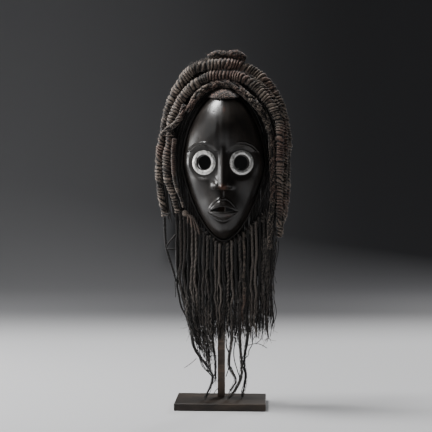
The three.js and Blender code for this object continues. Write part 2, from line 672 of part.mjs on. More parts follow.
const mask = new THREE.Group();
mask.add(
  head,
  piece("stand_post", standPost(), patinatedSteel),
  piece("stand_base", standBase(), patinatedSteel),
);

export default mask;
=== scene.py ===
"""A carved wooden face mask with a fibre headdress and a cord beard, upright on its stand.

Shapes are worked out in millimetres, across from the middle of the face, and turned into
metres when a piece is finished.
Left and right are as seen from the front, and the face looks along -Y.
"""
import random
from math import atan2, copysign, cos, exp, hypot, pi, radians, sin, sqrt, tan, tau

import bmesh
import bpy
from mathutils import Matrix, Vector
from mathutils.kdtree import KDTree
from mathutils.noise import noise


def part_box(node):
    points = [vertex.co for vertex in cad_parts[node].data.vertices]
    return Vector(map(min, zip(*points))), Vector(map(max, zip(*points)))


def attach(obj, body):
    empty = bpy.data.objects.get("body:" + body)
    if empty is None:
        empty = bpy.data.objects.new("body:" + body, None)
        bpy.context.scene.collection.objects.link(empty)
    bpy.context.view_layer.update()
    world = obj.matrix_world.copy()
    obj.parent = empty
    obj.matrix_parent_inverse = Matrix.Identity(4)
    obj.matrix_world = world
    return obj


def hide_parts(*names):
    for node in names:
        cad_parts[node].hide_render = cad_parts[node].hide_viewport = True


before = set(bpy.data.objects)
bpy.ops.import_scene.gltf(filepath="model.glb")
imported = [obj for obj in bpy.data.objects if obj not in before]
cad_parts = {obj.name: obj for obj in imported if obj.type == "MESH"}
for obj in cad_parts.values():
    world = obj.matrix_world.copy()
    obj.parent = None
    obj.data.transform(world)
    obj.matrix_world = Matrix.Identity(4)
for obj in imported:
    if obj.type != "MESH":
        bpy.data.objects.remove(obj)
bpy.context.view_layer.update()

MM = 0.001
GAP = 0.3


def node_box(node):
    """Lowest and highest corner of a solid, in millimetres."""
    low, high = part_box(node)
    return low / MM, high / MM


# Places taken from the solids
face_low, face_high = node_box("wooden_face")
FACE_X = (face_low.x + face_high.x) / 2
RIM_Y = face_high.y
BASE_REST = node_box("stand_base")[1].z + GAP

# Face outline and dome; each shape is the power and the roundness of a half of the outline
FACE_HALF_WIDTH = 67
FACE_ABOVE = 120
FACE_BELOW = 126.5
DOME_DEPTH = 52
WALL = 9
FLANGE_WIDTH = 4.5
FLANGE_THICKNESS = 6
CROWN_SHAPE = (1.8, 0.585)
JAW_SHAPE = (1.3, 0.57)
DOME_FLATNESS = 2.8
DOME_ROUNDNESS = 0.45
FACE_Z = face_low.z + FLANGE_WIDTH + FACE_BELOW
CROWN_Z = FACE_Z + FACE_ABOVE

# Carved features
EYE_X = 30.5
EYE_Z = FACE_Z + 1
EYE_SEAT = 46.5
EYE_TILT = radians(17)
EYE_HOLE_RADIUS = 13
EYE_SEAT_RADIUS = 21.5
BROW_Z = FACE_Z + 19
NOSE_ROOT_Z = FACE_Z + 15
NOSE_TIP_Z = NOSE_ROOT_Z - 52
NOSE_HEIGHT = 21
NOSE_HALF_WIDTH = 9.5
MOUTH_Z = FACE_Z - 78
MOUTH_HALF_WIDTH = 21
MOUTH_ARCH = 7
MOUTH_DIP = 2
LIP_HALF_WIDTH = 24.5
LIP_PEAK = 21.5
CHIN_Z = FACE_Z - 109

# Eye rings and forehead pad
RING_OUTER_RADIUS = 20.5
RING_SHEET = 1.2
RING_LIP = 3
TACK_COUNT = 14
TACK_RADIUS = 0.95
PAD_HALF_WIDTH = 26
PAD_LOW_Z = CROWN_Z - 15
PAD_HEIGHT = 21
PAD_PROUD = 6

# Beard
ROLL_RADIUS = 4.2
ROLL_LOW_Z = face_low.z - 11.2
ROLL_RISE = 0.41 * FACE_BELOW
ROLL_SPAN = 0.97 * FACE_HALF_WIDTH
ROLL_LEFT = -FACE_HALF_WIDTH - 17
ROLL_RIGHT = FACE_HALF_WIDTH + 17
CORD_COUNT = 25
CORD_RADIUS = 2.05
CORD_END_Z = ROLL_LOW_Z - 133
SWING_RISE = 95
CORD_SWING = 0.55
STRAND_SWING = 0.62
CORD_MARGIN = 4
CONE_CORD = 17
JAW_LOCK_RADIUS = 5
JAW_LOCK_COUNT = 3

# Every random number is drawn here, in a fixed order
chance = random.Random(41)
pick = chance.uniform


# Small mathematics

def clamp(value, low=0.0, high=1.0):
    return max(low, min(high, value))


def lerp(a, b, share):
    return a + (b - a) * share


def smooth(value, low, high):
    """A step that rises from 0 at low to 1 at high."""
    share = clamp((value - low) / (high - low))
    return share * share * (3 - 2 * share)


def bell(distance, width):
    """1 at no distance, falling off smoothly over the width."""
    return exp(-((distance / width) ** 2))


def ripple(x, y, z):
    """Smooth noise from about -1 to 1 that changes over a distance of one."""
    return noise(Vector((x, y, z)))


def radius_through(values):
    """A radius that runs through evenly spaced values along a line."""
    def at(share):
        place = share * (len(values) - 1)
        k = min(len(values) - 2, int(place))
        return lerp(values[k], values[k + 1], smooth(place - k, 0, 1))
    return at


# Shader building

class Signal:
    """A number that varies over a surface; arithmetic on it adds Math nodes."""

    def __init__(self, finish, socket):
        self.finish = finish
        self.socket = socket

    def math(self, operation, *values):
        inputs = dict(enumerate(values))
        return self.finish.node("ShaderNodeMath", {"operation": operation}, inputs)

    def __add__(self, other):
        return self.math("ADD", self, other)

    __radd__ = __add__

    def __rsub__(self, other):
        return self.math("SUBTRACT", other, self)

    def __mul__(self, other):
        return self.math("MULTIPLY", self, other)

    __rmul__ = __mul__

    def between(self, low, high):
        """0 at low, 1 at high, smooth in between."""
        settings = {"interpolation_type": "SMOOTHSTEP"}
        return self.finish.node("ShaderNodeMapRange", settings, {"Value": self, 1: low, 2: high})


class Finish:
    """One procedural material on the Principled shader."""

    def __init__(self, name):
        self.material = bpy.data.materials.new(name)
        self.material.use_nodes = True
        self.tree = self.material.node_tree
        self.shader = self.tree.nodes["Principled BSDF"]
        self.position = self.node("ShaderNodeTexCoord", {}, {}, "Object")

    def node(self, kind, settings, inputs, output=0):
        made = self.tree.nodes.new(kind)
        for key, value in settings.items():
            setattr(made, key, value)
        for key, value in inputs.items():
            self.plug(made.inputs[key], value)
        return Signal(self, made.outputs[output])

    def plug(self, socket, value):
        if isinstance(value, Signal):
            self.tree.links.new(value.socket, socket)
        else:
            socket.default_value = value

    def set(self, **values):
        for key, value in values.items():
            self.plug(self.shader.inputs[key.replace("_", " ")], value)

    def noise(self, scale, detail, roughness=0.55, stretch=(1, 1, 1)):
        moved = self.node("ShaderNodeMapping", {}, {"Vector": self.position, "Scale": stretch})
        inputs = {"Vector": moved, "Scale": scale, "Detail": detail, "Roughness": roughness}
        return self.node("ShaderNodeTexNoise", {}, inputs)

    def attribute(self, name):
        return self.node("ShaderNodeAttribute", {"attribute_name": name}, {}, "Fac")

    def blend(self, factor, first, second):
        inputs = {0: factor, 6: colour_of(first), 7: colour_of(second)}
        return self.node("ShaderNodeMix", {"data_type": "RGBA"}, inputs, 2)

    def bump(self, height, distance, strength):
        inputs = {"Height": height, "Distance": distance, "Strength": strength}
        self.set(Normal=self.node("ShaderNodeBump", {}, inputs))


def colour_of(value):
    return value if isinstance(value, Signal) else (*value, 1.0)


def wood_finish():
    """Blackened, oiled hardwood, rubbed reddish where hands and cloth have worn it."""
    f = Finish("oiled_black_wood")
    cloud = f.noise(26, 6, 0.62)
    grain = f.noise(230, 5, 0.6, (1, 1, 0.07))
    mottle = f.noise(75, 5, 0.7)
    wear = (f.attribute("wear") * (0.45 + mottle)).between(0.25, 0.95)
    base = f.blend(cloud.between(0.35, 0.7), (0.0095, 0.0078, 0.0068), (0.021, 0.0165, 0.0135))
    streaked = f.blend(grain.between(0.5, 0.75) * 0.5, base, (0.034, 0.025, 0.019))
    spots = f.blend(mottle.between(0.64, 0.76) * 0.45, streaked, (0.05, 0.022, 0.013))
    dusty = f.blend(f.attribute("inside") * 0.8, spots, (0.06, 0.043, 0.031))
    f.set(Base_Color=f.blend(wear, dusty, (0.075, 0.036, 0.024)))
    rough = 0.30 + cloud.between(0.3, 0.8) * 0.15 + mottle.between(0.5, 0.9) * 0.12
    f.set(Roughness=rough + f.attribute("inside") * 0.35)
    f.set(Coat_Weight=cloud.between(0.75, 0.3) * 0.2)
    f.set(Coat_Roughness=0.24, IOR=1.5)
    f.bump(grain * 0.4 + mottle * 0.3 + f.noise(900, 2) * 0.2, 0.00022, 0.5)
    return f.material


def tin_finish():
    """Thin silvery sheet, hammered flat and scratched, duller in patches, and near-black and less
    metallic at its edges and in spots.
    """
    f = Finish("tin_sheet")
    tarnish = f.noise(140, 5, 0.65)
    scratch = f.noise(420, 3, 0.6, (1, 1, 0.12))
    clean = f.blend(tarnish.between(0.35, 0.75), (0.92, 0.91, 0.88), (0.66, 0.64, 0.60))
    f.set(Base_Color=f.blend(f.attribute("dark_edges_and_spots"), clean, (0.014, 0.012, 0.010)))
    f.set(Metallic=1 - f.attribute("dark_edges_and_spots") * 0.95)
    f.set(Roughness=0.30 + tarnish * 0.26)
    f.bump(tarnish * 0.7 + scratch * 0.3, 0.0003, 0.6)
    return f.material


def fibre_finish(name, groove, dull, light, red, redness):
    """Dry plant fibre: dark in its grooves, a painted shade, and paler and redder in patches on its
    crests.
    """
    f = Finish(name)
    patch = f.noise(24, 4, 0.6)
    warm = f.noise(17, 3, 0.5, (1.3, 0.8, 0.9))
    fine = f.noise(900, 4, 0.7)
    hairs = f.noise(1600, 2, 0.6, (1, 1, 0.25))
    crest = f.blend((patch * 0.6 + f.attribute("shade") * 0.8).between(0.35, 1.0), dull, light)
    tinted = f.blend(warm.between(0.46, 0.66) * redness, crest, red)
    speckled = f.blend(fine.between(0.42, 0.72) * 0.45, tinted, groove)
    # Painted shade: where the relief attribute is low, in the grooves, the colour goes to the groove
    # colour.
    f.set(Base_Color=f.blend(f.attribute("relief").between(0.25, 0.9), groove, speckled))
    f.set(Roughness=0.72 + fine * 0.2)
    f.set(Sheen_Weight=0.25, Sheen_Roughness=0.5, Specular_IOR_Level=0.35)
    f.bump(fine * 0.5 + hairs * 0.5, 0.0005, 0.8)
    return f.material


def steel_finish(name, light):
    """Brown patinated steel: waxed, streaked along its length, rubbed redder in spots. Every colour is
    scaled by light, a painted brightness.
    """
    def tone(*colour):
        return tuple(light * part for part in colour)

    f = Finish(name)
    cloud = f.noise(18, 6, 0.65)
    streak = f.noise(60, 5, 0.7, (0.12, 1, 1))
    pits = f.noise(520, 3, 0.6)
    base = f.blend(cloud.between(0.35, 0.68), tone(0.034, 0.027, 0.022), tone(0.085, 0.062, 0.047))
    streaked = f.blend(streak.between(0.5, 0.72) * 0.6, base, tone(0.15, 0.105, 0.075))
    f.set(Base_Color=f.blend(pits.between(0.62, 0.75) * 0.5, streaked, tone(0.19, 0.095, 0.06)))
    f.set(Metallic=0.35)
    f.set(Roughness=0.34 + streak * 0.22 + pits * 0.08)
    f.bump(streak * 0.5 + pits * 0.5, 0.0003, 0.5)
    return f.material


def floor_with_painted_light():
    """Pale in front; where it sweeps up behind, a painted glow, grey at the left, fading to dark at the
    right, and a painted shadow, black, right behind the head, so that the head's open holes look into
    the dark."""
    f = Finish("floor_painted_glow_and_shadow")
    across, along, up = (
        f.node("ShaderNodeSeparateXYZ", {}, {0: f.position}, axis) for axis in (0, 1, 2))
    # Painted glow: the backdrop is grey at the left, where light falls on it, and dark at the right.
    behind = f.blend(across.between(-1.5, 0.5), (0.36, 0.36, 0.37), (0.05, 0.05, 0.054))
    swept = f.blend(along.between(0.7, 1.45), (0.60, 0.60, 0.61), behind)
    # Painted shadow: a black patch on the backdrop right behind the head.
    middle = across.between(-0.35, -0.27) * across.between(0.12, 0.04)
    spot = middle * up.between(0.02, 0.12) * up.between(0.62, 0.5)
    f.set(Base_Color=f.blend(spot, swept, (0.004, 0.004, 0.004)))
    f.set(Roughness=0.75)
    return f.material


WOOD = wood_finish()
TIN = tin_finish()
# Each fibre's colours: the groove colour, a painted shade that also marks dark flecks, then dull, light
# and red, and how much red.
COIL = fibre_finish(
    "wrapped_coil_fibre", (0.003, 0.0024, 0.002), (0.030, 0.023, 0.018), (0.235, 0.188, 0.152),
    (0.17, 0.085, 0.064), 0.55)
CORD = fibre_finish(
    "twisted_cord_fibre", (0.003, 0.0025, 0.0022), (0.030, 0.025, 0.022), (0.22, 0.188, 0.163),
    (0.050, 0.031, 0.024), 0.4)
# Near-black fibre: the real colour of the darkest cords and twigs, and a painted shade on what lies
# behind the front cords, the coils and the face's rim.
DARK_FIBRE_AND_SHADE = fibre_finish(
    "near_black_fibre_and_painted_shade", (0.002, 0.0017, 0.0015), (0.006, 0.005, 0.0045), (0.017, 0.014, 0.012),
    (0.018, 0.010, 0.008), 0.4)
FELT = fibre_finish(
    "felted_fibre", (0.006, 0.004, 0.003), (0.055, 0.031, 0.022), (0.29, 0.185, 0.14),
    (0.21, 0.095, 0.064), 0.6)
# One steel in two copies: the post's painted lighter, the plate's painted darker.
POST_STEEL_PAINTED_LIGHTER = steel_finish("brown_steel_painted_lighter", 2.6)
PLATE_STEEL_PAINTED_DARKER = steel_finish("brown_steel_painted_darker", 0.5)


# Pieces

LINE_STEP = 1.2
STRAND_STEP = 1.6
ROUNDED_RINGS = 3


def placed(name, data):
    made = bpy.data.objects.new(name, data)
    bpy.context.scene.collection.objects.link(made)
    return made


def mesh_of(bm, name):
    """A mesh made from a bmesh, which is freed."""
    mesh = bpy.data.meshes.new(name)
    bm.to_mesh(mesh)
    bm.free()
    return mesh


def finished(bm, name, nodes, material, sharp_angle=None):
    """Turns a bmesh in millimetres into a placed piece that stands for the given solids."""
    bmesh.ops.translate(bm, verts=bm.verts, vec=(FACE_X, 0, 0))
    bmesh.ops.scale(bm, verts=bm.verts, vec=(MM, MM, MM))
    mesh = mesh_of(bm, name)
    mesh.shade_smooth()
    if sharp_angle:
        mesh.set_sharp_from_angle(angle=radians(sharp_angle))
    mesh.materials.append(material)
    piece = placed(name, mesh)
    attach(piece, "root")
    if nodes:
        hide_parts(*nodes)


def evaluated(holder):
    """An object's mesh with its modifiers or its bevel worked out."""
    return holder.evaluated_get(bpy.context.evaluated_depsgraph_get()).to_mesh()


def tone_and_groove_shade_layers(bm):
    """The two numbers on every vertex that the fibre materials read: a crest value, low where they paint
    shade in the grooves, and a shade of colour.
    """
    return bm.verts.layers.float.new("relief"), bm.verts.layers.float.new("shade")


def paint(bm, name, value_at):
    """Stores a number on every vertex under a name that the materials read."""
    layer = bm.verts.layers.float.get(name) or bm.verts.layers.float.new(name)
    for v in bm.verts:
        v[layer] = value_at(v.co)


def merged(parts):
    """One bmesh from several, each freed afterwards."""
    whole = bmesh.new()
    for part in parts:
        mesh = mesh_of(part, "part")
        whole.from_mesh(mesh)
        bpy.data.meshes.remove(mesh)
    return whole


def open_edges(bm):
    return [e for e in bm.edges if e.is_boundary]


def only_verts(made):
    return [v for v in made["geom"] if isinstance(v, bmesh.types.BMVert)]


def closed(bm):
    bmesh.ops.holes_fill(bm, edges=open_edges(bm), sides=0)
    bmesh.ops.recalc_face_normals(bm, faces=bm.faces)
    return bm


class Line:
    """A smooth line through points, with a frame that doesn't twist along it."""

    def __init__(self, points, rounds=True):
        knots = [Vector(p) for p in points]
        self.dense = self.through(knots) if rounds else knots
        self.places = [0.0]
        for a, b in zip(self.dense, self.dense[1:]):
            self.places.append(self.places[-1] + (b - a).length)
        self.length = self.places[-1]

    @staticmethod
    def through(knots):
        """Centripetal curve through the knots, finely divided."""
        ends = [2 * knots[0] - knots[1], *knots, 2 * knots[-1] - knots[-2]]
        dense = []
        for p0, p1, p2, p3 in zip(ends, ends[1:], ends[2:], ends[3:]):
            t1 = (p1 - p0).length ** 0.5
            t2 = t1 + (p2 - p1).length ** 0.5
            t3 = t2 + (p3 - p2).length ** 0.5
            count = max(3, int((p2 - p1).length / LINE_STEP))
            for k in range(count):
                t = lerp(t1, t2, k / count)
                a1 = p0.lerp(p1, t / t1)
                a2 = p1.lerp(p2, (t - t1) / (t2 - t1))
                a3 = p2.lerp(p3, (t - t2) / (t3 - t2))
                b1 = a1.lerp(a2, t / t2)
                b2 = a2.lerp(a3, (t - t1) / (t3 - t1))
                dense.append(b1.lerp(b2, (t - t1) / (t2 - t1)))
        dense.append(knots[-1].copy())
        return dense

    def sample(self, shares):
        """(point, normal, binormal) at rising shares of the length, the frame carried along."""
        out = []
        k = 0
        normal = None
        for share in shares:
            place = share * self.length
            while k < len(self.places) - 2 and self.places[k + 1] < place:
                k += 1
            a, b = self.dense[k], self.dense[k + 1]
            span = max(1e-9, self.places[k + 1] - self.places[k])
            tangent = (b - a).normalized()
            if normal is None:
                normal = tangent.cross(Vector((0, 1, 0)))
                if normal.length < 0.1:
                    normal = tangent.cross(Vector((1, 0, 0)))
            normal = (normal - tangent * normal.dot(tangent)).normalized()
            out.append((a.lerp(b, (place - self.places[k]) / span), normal, tangent.cross(normal)))
        return out


def around(spot, reach, angle):
    """The point at a distance from a line, in the direction of an angle round it."""
    point, normal, binormal = spot
    return point + normal * (reach * cos(angle)) + binormal * (reach * sin(angle))


def tube(line, radius_at, pitch, sides, relief, seed):
    """A closed tube with rounded ends: a grid rolled up along a line, its skin raised by a relief
    of the distance along, the angle round, the radius and the seed, which returns a height, a
    crest value and a shade. Without a relief it is plain."""
    bm = bmesh.new()
    crest, shade = tone_and_groove_shade_layers(bm)
    plain = (0, 0.7, clamp(0.5 + 0.9 * ripple(seed * 7.3, 2.2, 0.4)))
    rings = max(3, int(line.length / pitch))
    bmesh.ops.create_grid(bm, x_segments=rings, y_segments=sides, size=1)
    share_of = {v: round((v.co.x + 1) / 2, 7) for v in bm.verts}
    shares = sorted(set(share_of.values()))
    frames = dict(zip(shares, line.sample(shares)))
    rounded = ROUNDED_RINGS * pitch / line.length
    for v, share in share_of.items():
        angle = pi * (v.co.y + 1)
        radius = radius_at(share)
        from_end = min(1.0, share / rounded, (1 - share) / rounded)
        height, v[crest], v[shade] = plain
        if relief:
            height, v[crest], v[shade] = relief(
                share * line.length, angle % tau, radius, seed)
        reach = (radius + height) * sqrt(1 - 0.9 * (1 - from_end) ** 2)
        v.co = around(frames[share], reach, angle)
    bmesh.ops.remove_doubles(bm, verts=bm.verts, dist=1e-4)
    return closed(bm)


def wrapping(pitch, depth, turns=1):
    """Relief of thread wound round a bundle in leaning turns, some of them slack."""
    def at(along, angle, radius, seed):
        drift = 1.5 * ripple(along / 23, seed, 0)
        lean = 0.25 * sin(angle + 5 * ripple(along / 31, seed, 7))
        phase = along / pitch + drift + lean + turns * angle / tau
        rib = abs(sin(pi * phase)) ** 0.8
        across, aside = cos(angle), sin(angle)
        loose = ripple(along / (1.6 * pitch), seed + 5.3, 0.4)
        knots = ripple(along / 2.1 + seed, 1.7 * across, 1.7 * aside)
        lump = 0.1 * radius * ripple(along / 21, across, seed + 9)
        fray = 0.2 * ripple(along * 0.9, 3 * across, 3 * aside)
        height = depth * (rib - 0.75) + rib * depth * (0.7 * loose + 0.3 * knots) + lump + fray
        shade = 0.5 + 0.7 * ripple(along / (1.9 * pitch), seed + 17.7, 0.2) + 0.4 * knots
        # The crest value is low in the grooves, where the fibre materials paint shade.
        return height, clamp(rib * (0.95 + 0.7 * knots) + 0.3 * loose), clamp(shade)
    return at


def twisting(lay, depth):
    """Relief of a cord laid up from two strands."""
    def at(along, angle, radius, seed):
        rib = abs(sin(pi * (angle / pi + along / lay))) ** 0.7
        lump = 0.12 * radius * ripple(along / 9, cos(angle), seed)
        shade = 0.5 + 0.8 * ripple(along / 23, seed * 3.1, 0.3)
        # The crest value is low in the grooves, where the fibre materials paint shade.
        return depth * (rib - 0.7) + lump, clamp(rib + 0.1), clamp(shade)
    return at


def matting(depth):
    """Relief of felted, knotted fibre."""
    def at(along, angle, radius, seed):
        here = Vector((along / 3.4, 2.4 * cos(angle), 2.4 * sin(angle) + seed))
        knots = 1 - abs(2 * noise(here))
        curls = noise(here * 2.7)
        # tone is the crest value, low in the hollows, where the felt material paints shade.
        tone = clamp(0.05 + 0.85 * knots ** 3 + 0.6 * curls)
        return depth * (knots - 0.5 + 0.5 * curls), tone, clamp(0.5 + noise(here * 0.8))
    return at


def laid_strands(line, radius_at, strands, lay, pitch, sides, seed, relief=None):
    """Separate strands that wind round each other along a line."""
    count = max(8, int(line.length / STRAND_STEP))
    shares = [k / count for k in range(count + 1)]
    frames = line.sample(shares)
    # How far out each strand lies and how thick it is, as shares of the whole cord's radius
    outwards, thickness = {2: (0.5, 0.6), 3: (0.56, 0.5)}[strands]
    parts = []
    for strand in range(strands):
        points = []
        for share, spot in zip(shares, frames):
            along = share * line.length
            wander = 0.5 * ripple(along / 17, seed, 3)
            turn = tau * (along / lay + strand / strands + wander)
            points.append(around(spot, radius_at(share) * outwards, turn))
        route = Line(points, rounds=False)
        parts.append(tube(
            route, lambda s: radius_at(s) * thickness, pitch, sides, relief, seed + strand))
    return parts


# Wooden face

def outline_share(t):
    power, roundness = CROWN_SHAPE if t > 0 else JAW_SHAPE
    return max(0.0, 1 - abs(t) ** power) ** roundness


def height_at(t, grow):
    return FACE_Z + t * ((FACE_ABOVE if t > 0 else FACE_BELOW) + grow)


def height_share(z, grow):
    """How high a point lies: -1 at the chin, 1 at the crown."""
    return clamp((z - FACE_Z) / ((FACE_ABOVE if z > FACE_Z else FACE_BELOW) + grow), -1, 1)


def rim_share(x, z, grow):
    """How far a point of the face lies from the middle, 0, to the rim, 1."""
    t = height_share(z, grow)
    across = clamp(x / max(1e-6, (FACE_HALF_WIDTH + grow) * outline_share(t)), -1, 1)
    return min(1.0, hypot(t, across * sqrt(1 - t * t)))


def dome_height(share, depth):
    return depth * max(0.0, 1 - share ** DOME_FLATNESS) ** DOME_ROUNDNESS


# Reliefs of the carving: each feature is its height times bells and steps, which take a
# distance from the feature's middle line and its width, all in millimetres.

def nose_relief(x, z):
    down = clamp((NOSE_ROOT_Z - z) / (NOSE_ROOT_Z - NOSE_TIP_Z))
    height = lerp(0.28, 1, down ** 1.25) * NOSE_HEIGHT
    half_width = lerp(0.62, 1, down) * NOSE_HALF_WIDTH
    underside = smooth(z, NOSE_TIP_Z - 7, NOSE_TIP_Z - 1)
    root = 1 - smooth(z, NOSE_ROOT_Z - 8, NOSE_ROOT_Z + 20)
    bridge = height * bell(x, half_width) * underside * root
    wing = 9 * bell(abs(x) - 11.5, 6) * bell(z - NOSE_TIP_Z - 1, 8) * underside
    nostril = 3.2 * bell(abs(x) - 6, 2.8) * bell(z - NOSE_TIP_Z + 3.2, 2.4)
    return max(bridge, bridge * 0.55 + wing) - nostril


def upper_lip_edge(x):
    share = clamp(abs(x) / LIP_HALF_WIDTH) ** 1.9
    return MOUTH_Z + lerp(LIP_PEAK, 0, share) - 2.4 * bell(x, 3.5)


def mouth_relief(x, z):
    muzzle = 11 * bell(x, 30) * bell(z - MOUTH_Z - 4, 25)
    within = 1 - smooth(abs(x), LIP_HALF_WIDTH * 0.7, LIP_HALF_WIDTH * 1.08)
    edge = 2.2 * bell(z - upper_lip_edge(x), 1.5) + 1.1 * bell(z - upper_lip_edge(x) + 5.2, 1.1)
    upper = 4.5 * smooth(upper_lip_edge(x) - z, -1, 10) * smooth(z, MOUTH_Z - 1, MOUTH_Z + 5)
    along = clamp(abs(x) / LIP_HALF_WIDTH)
    middle = MOUTH_Z - 2 - 5 * (1 - along ** 1.4)
    from_lip = along ** 2.6 + ((z - middle) / (2.2 + 5.4 * (1 - along ** 1.7))) ** 2
    lower = 7.5 * sqrt(max(0.0, 1 - from_lip))
    crease = 1.8 * bell(z - middle + 10.5 * (1 - along ** 2), 2.6) * (1 - along ** 2)
    groove = 1.1 * bell(x, 2.2) * bell(z - MOUTH_Z - 29, 6)
    return muzzle + (edge + upper) * within + lower - crease - groove


def brow_relief(x, z):
    side = abs(x)
    ledge = 3.6 * smooth(z, BROW_Z - 0.8, BROW_Z + 0.8) * exp(-max(0.0, z - BROW_Z) / 30)
    span = smooth(side, 4, 12) * (1 - smooth(side, 56, 66))
    from_eye = hypot(side - EYE_X, z - EYE_Z)
    lines = 1.6 * bell(from_eye - 33, 1.0) + 1.2 * bell(from_eye - 29, 0.8)
    fade = smooth(z, EYE_Z + 12, EYE_Z + 20) * smooth(side, 21, 30)
    round_eye = 0.8 * bell(from_eye - 23.6, 0.7) + 0.5 * bell(from_eye - 26, 0.6)
    below = 1 - smooth(z, EYE_Z - 2, EYE_Z + 14)
    return ledge * span + lines * fade + round_eye * below


def tool_marks(x, z):
    """Shallow facets and dents that the blade and the years have left."""
    facets = 0.1 * ripple(x / 8, z / 9, 3)
    waves = 0.5 * ripple(x / 26, z / 30, 8)
    dents = -0.4 * smooth(ripple(x / 3.1, z / 3.8, 21), 0.5, 0.8)
    return facets + waves + dents


def carving(x, z):
    """How far the carved features stand out from the plain dome."""
    side = abs(x)
    forehead = 12 * bell(x, 46) * bell(z - FACE_Z - 67, 40)
    keel = 2.8 * exp(-hypot(x, 5) / 17) * smooth(z, BROW_Z - 4, BROW_Z + 22)
    eye_band = -4 * bell(z - EYE_Z, 17) * smooth(side, 6, 14)
    temple = 8 * bell(side - 60, 9) * bell(z - EYE_Z, 18)
    cheek = 3 * bell(side - 40, 16) * bell(z - FACE_Z + 27, 16)
    jaw_hollow = -3 * bell(side - 36, 13) * bell(z - FACE_Z + 60, 18)
    chin = 8 * bell(x, 20) * bell(z - CHIN_Z, 14)
    plain = forehead + keel + eye_band + temple + cheek + jaw_hollow + chin
    return plain + brow_relief(x, z) + nose_relief(x, z) + mouth_relief(x, z) + tool_marks(x, z)


def carved_height(x, z, share, depth=DOME_DEPTH):
    """Height of the carved face above the plane of its rim, with a flat seat round each eye."""
    free = dome_height(share, depth) + carving(x, z) * (1 - smooth(share, 0.9, 0.995))
    outwards = abs(x) - EYE_X
    seat = EYE_SEAT - 0.5 + depth - DOME_DEPTH - outwards * tan(EYE_TILT)
    near_eye = 1 - smooth(hypot(outwards, z - EYE_Z), EYE_SEAT_RADIUS, EYE_SEAT_RADIUS + 9)
    return lerp(free, seat, near_eye * smooth(abs(x), 6, 11))


def rounded_square(a, b):
    """A point of the square from -1 to 1, drawn in to the unit disc."""
    return a * sqrt(1 - b * b / 2), b * sqrt(1 - a * a / 2)


def on_disc(a, b):
    """A point of the square from -1 to 1 on the unit disc, crowded towards the rim."""
    u, v = rounded_square(a, b)
    r = min(1.0, hypot(u, v))
    share = sin(pi / 2 * r)
    scale = share / r if r > 1e-9 else pi / 2
    return u * scale, clamp(v * scale, -1, 1), share


def on_face(a, b, grow):
    """x, z and share to the rim of the face's point that belongs to a point of the square."""
    u, t, share = on_disc(a, b)
    half_width = (FACE_HALF_WIDTH + grow) * outline_share(t)
    return half_width * u / sqrt(max(1e-9, 1 - t * t)), height_at(t, grow), share


def crowded(s):
    """A place from -1 to 1 moved inwards, so that a grid is densest in its middle."""
    return s * (0.6 + 0.4 * abs(s) ** 0.7)


def dome_skin(columns, rows, grow, height_of):
    """An open dome over the face outline, made from a square grid."""
    bm = bmesh.new()
    bmesh.ops.create_grid(bm, x_segments=columns, y_segments=rows, size=1)
    for v in bm.verts:
        x, z, share = on_face(crowded(v.co.x), crowded(v.co.y), grow)
        v.co = (x, RIM_Y - height_of(x, z, share), z)
    return bm


def rim_step(bm, was, grow, y):
    """Extrudes the open edge to a new outline and depth."""
    for v in only_verts(bmesh.ops.extrude_edge_only(bm, edges=open_edges(bm))):
        t = height_share(v.co.z, was)
        side = 0 if abs(v.co.x) < 1e-6 else copysign(1, v.co.x)
        v.co = (side * (FACE_HALF_WIDTH + grow) * outline_share(t), y, height_at(t, grow))


def hollow_height(share):
    return dome_height(share, DOME_DEPTH - WALL - 2)


def adze_height(x, z, share):
    """Depth of the hollow, its skin left in broad cuts of the adze."""
    cuts = 1.1 * abs(ripple(x / 9, z / 15, 40)) * (1 - share ** 4)
    return hollow_height(share) - cuts


def eye_frame(side):
    """The place and the turn of an eye's flat seat."""
    turn = Matrix.Rotation(side * EYE_TILT, 4, "Z")
    return Matrix.Translation((side * EYE_X, RIM_Y - EYE_SEAT, EYE_Z)) @ turn


def eye_cutter(side):
    bm = bmesh.new()
    upright = Matrix.Rotation(pi / 2, 4, "X")
    bmesh.ops.create_cone(
        bm, cap_ends=True, segments=96, radius1=EYE_HOLE_RADIUS, radius2=EYE_HOLE_RADIUS,
        depth=2 * DOME_DEPTH, matrix=eye_frame(side) @ upright)
    return bm


def mouth_cutter():
    """The mouth's slot: a lens with a high upper and a shallow lower edge."""
    bm = bmesh.new()
    bmesh.ops.create_circle(bm, cap_ends=True, segments=80, radius=1)
    for v in bm.verts:
        arch = MOUTH_ARCH if v.co.y > 0 else -MOUTH_DIP
        x = v.co.x * MOUTH_HALF_WIDTH
        v.co = (x, RIM_Y - 2 * DOME_DEPTH, MOUTH_Z + arch * (1 - v.co.x ** 2))
    moved = only_verts(bmesh.ops.extrude_face_region(bm, geom=list(bm.faces)))
    bmesh.ops.translate(bm, verts=moved, vec=(0, 2 * DOME_DEPTH - 2, 0))
    bmesh.ops.recalc_face_normals(bm, faces=bm.faces)
    return bm


def cut_away(bm, cutters):
    """The solid without the cutters, taken away one after the other."""
    blank = placed("blank", mesh_of(bm, "blank"))
    holders = [blank]
    for part in cutters:
        holders.append(placed("cutter", mesh_of(part, "cutter")))
        cut = blank.modifiers.new("cut", "BOOLEAN")
        cut.operation = "DIFFERENCE"
        cut.solver = "EXACT"
        cut.object = holders[-1]
    result = bmesh.new()
    result.from_mesh(evaluated(blank))
    for holder in holders:
        mesh = holder.data
        bpy.data.objects.remove(holder)
        bpy.data.meshes.remove(mesh)
    return result


# The bead that runs round the face: distance outwards and height over the flange
RIM_BEAD = [
    (0.5, -0.9), (1.0, 0.1), (1.7, 0.7), (2.4, 0.9), (3.1, 0.7), (3.8, 0.0), (4.3, -0.9), (4.5, -2),
]


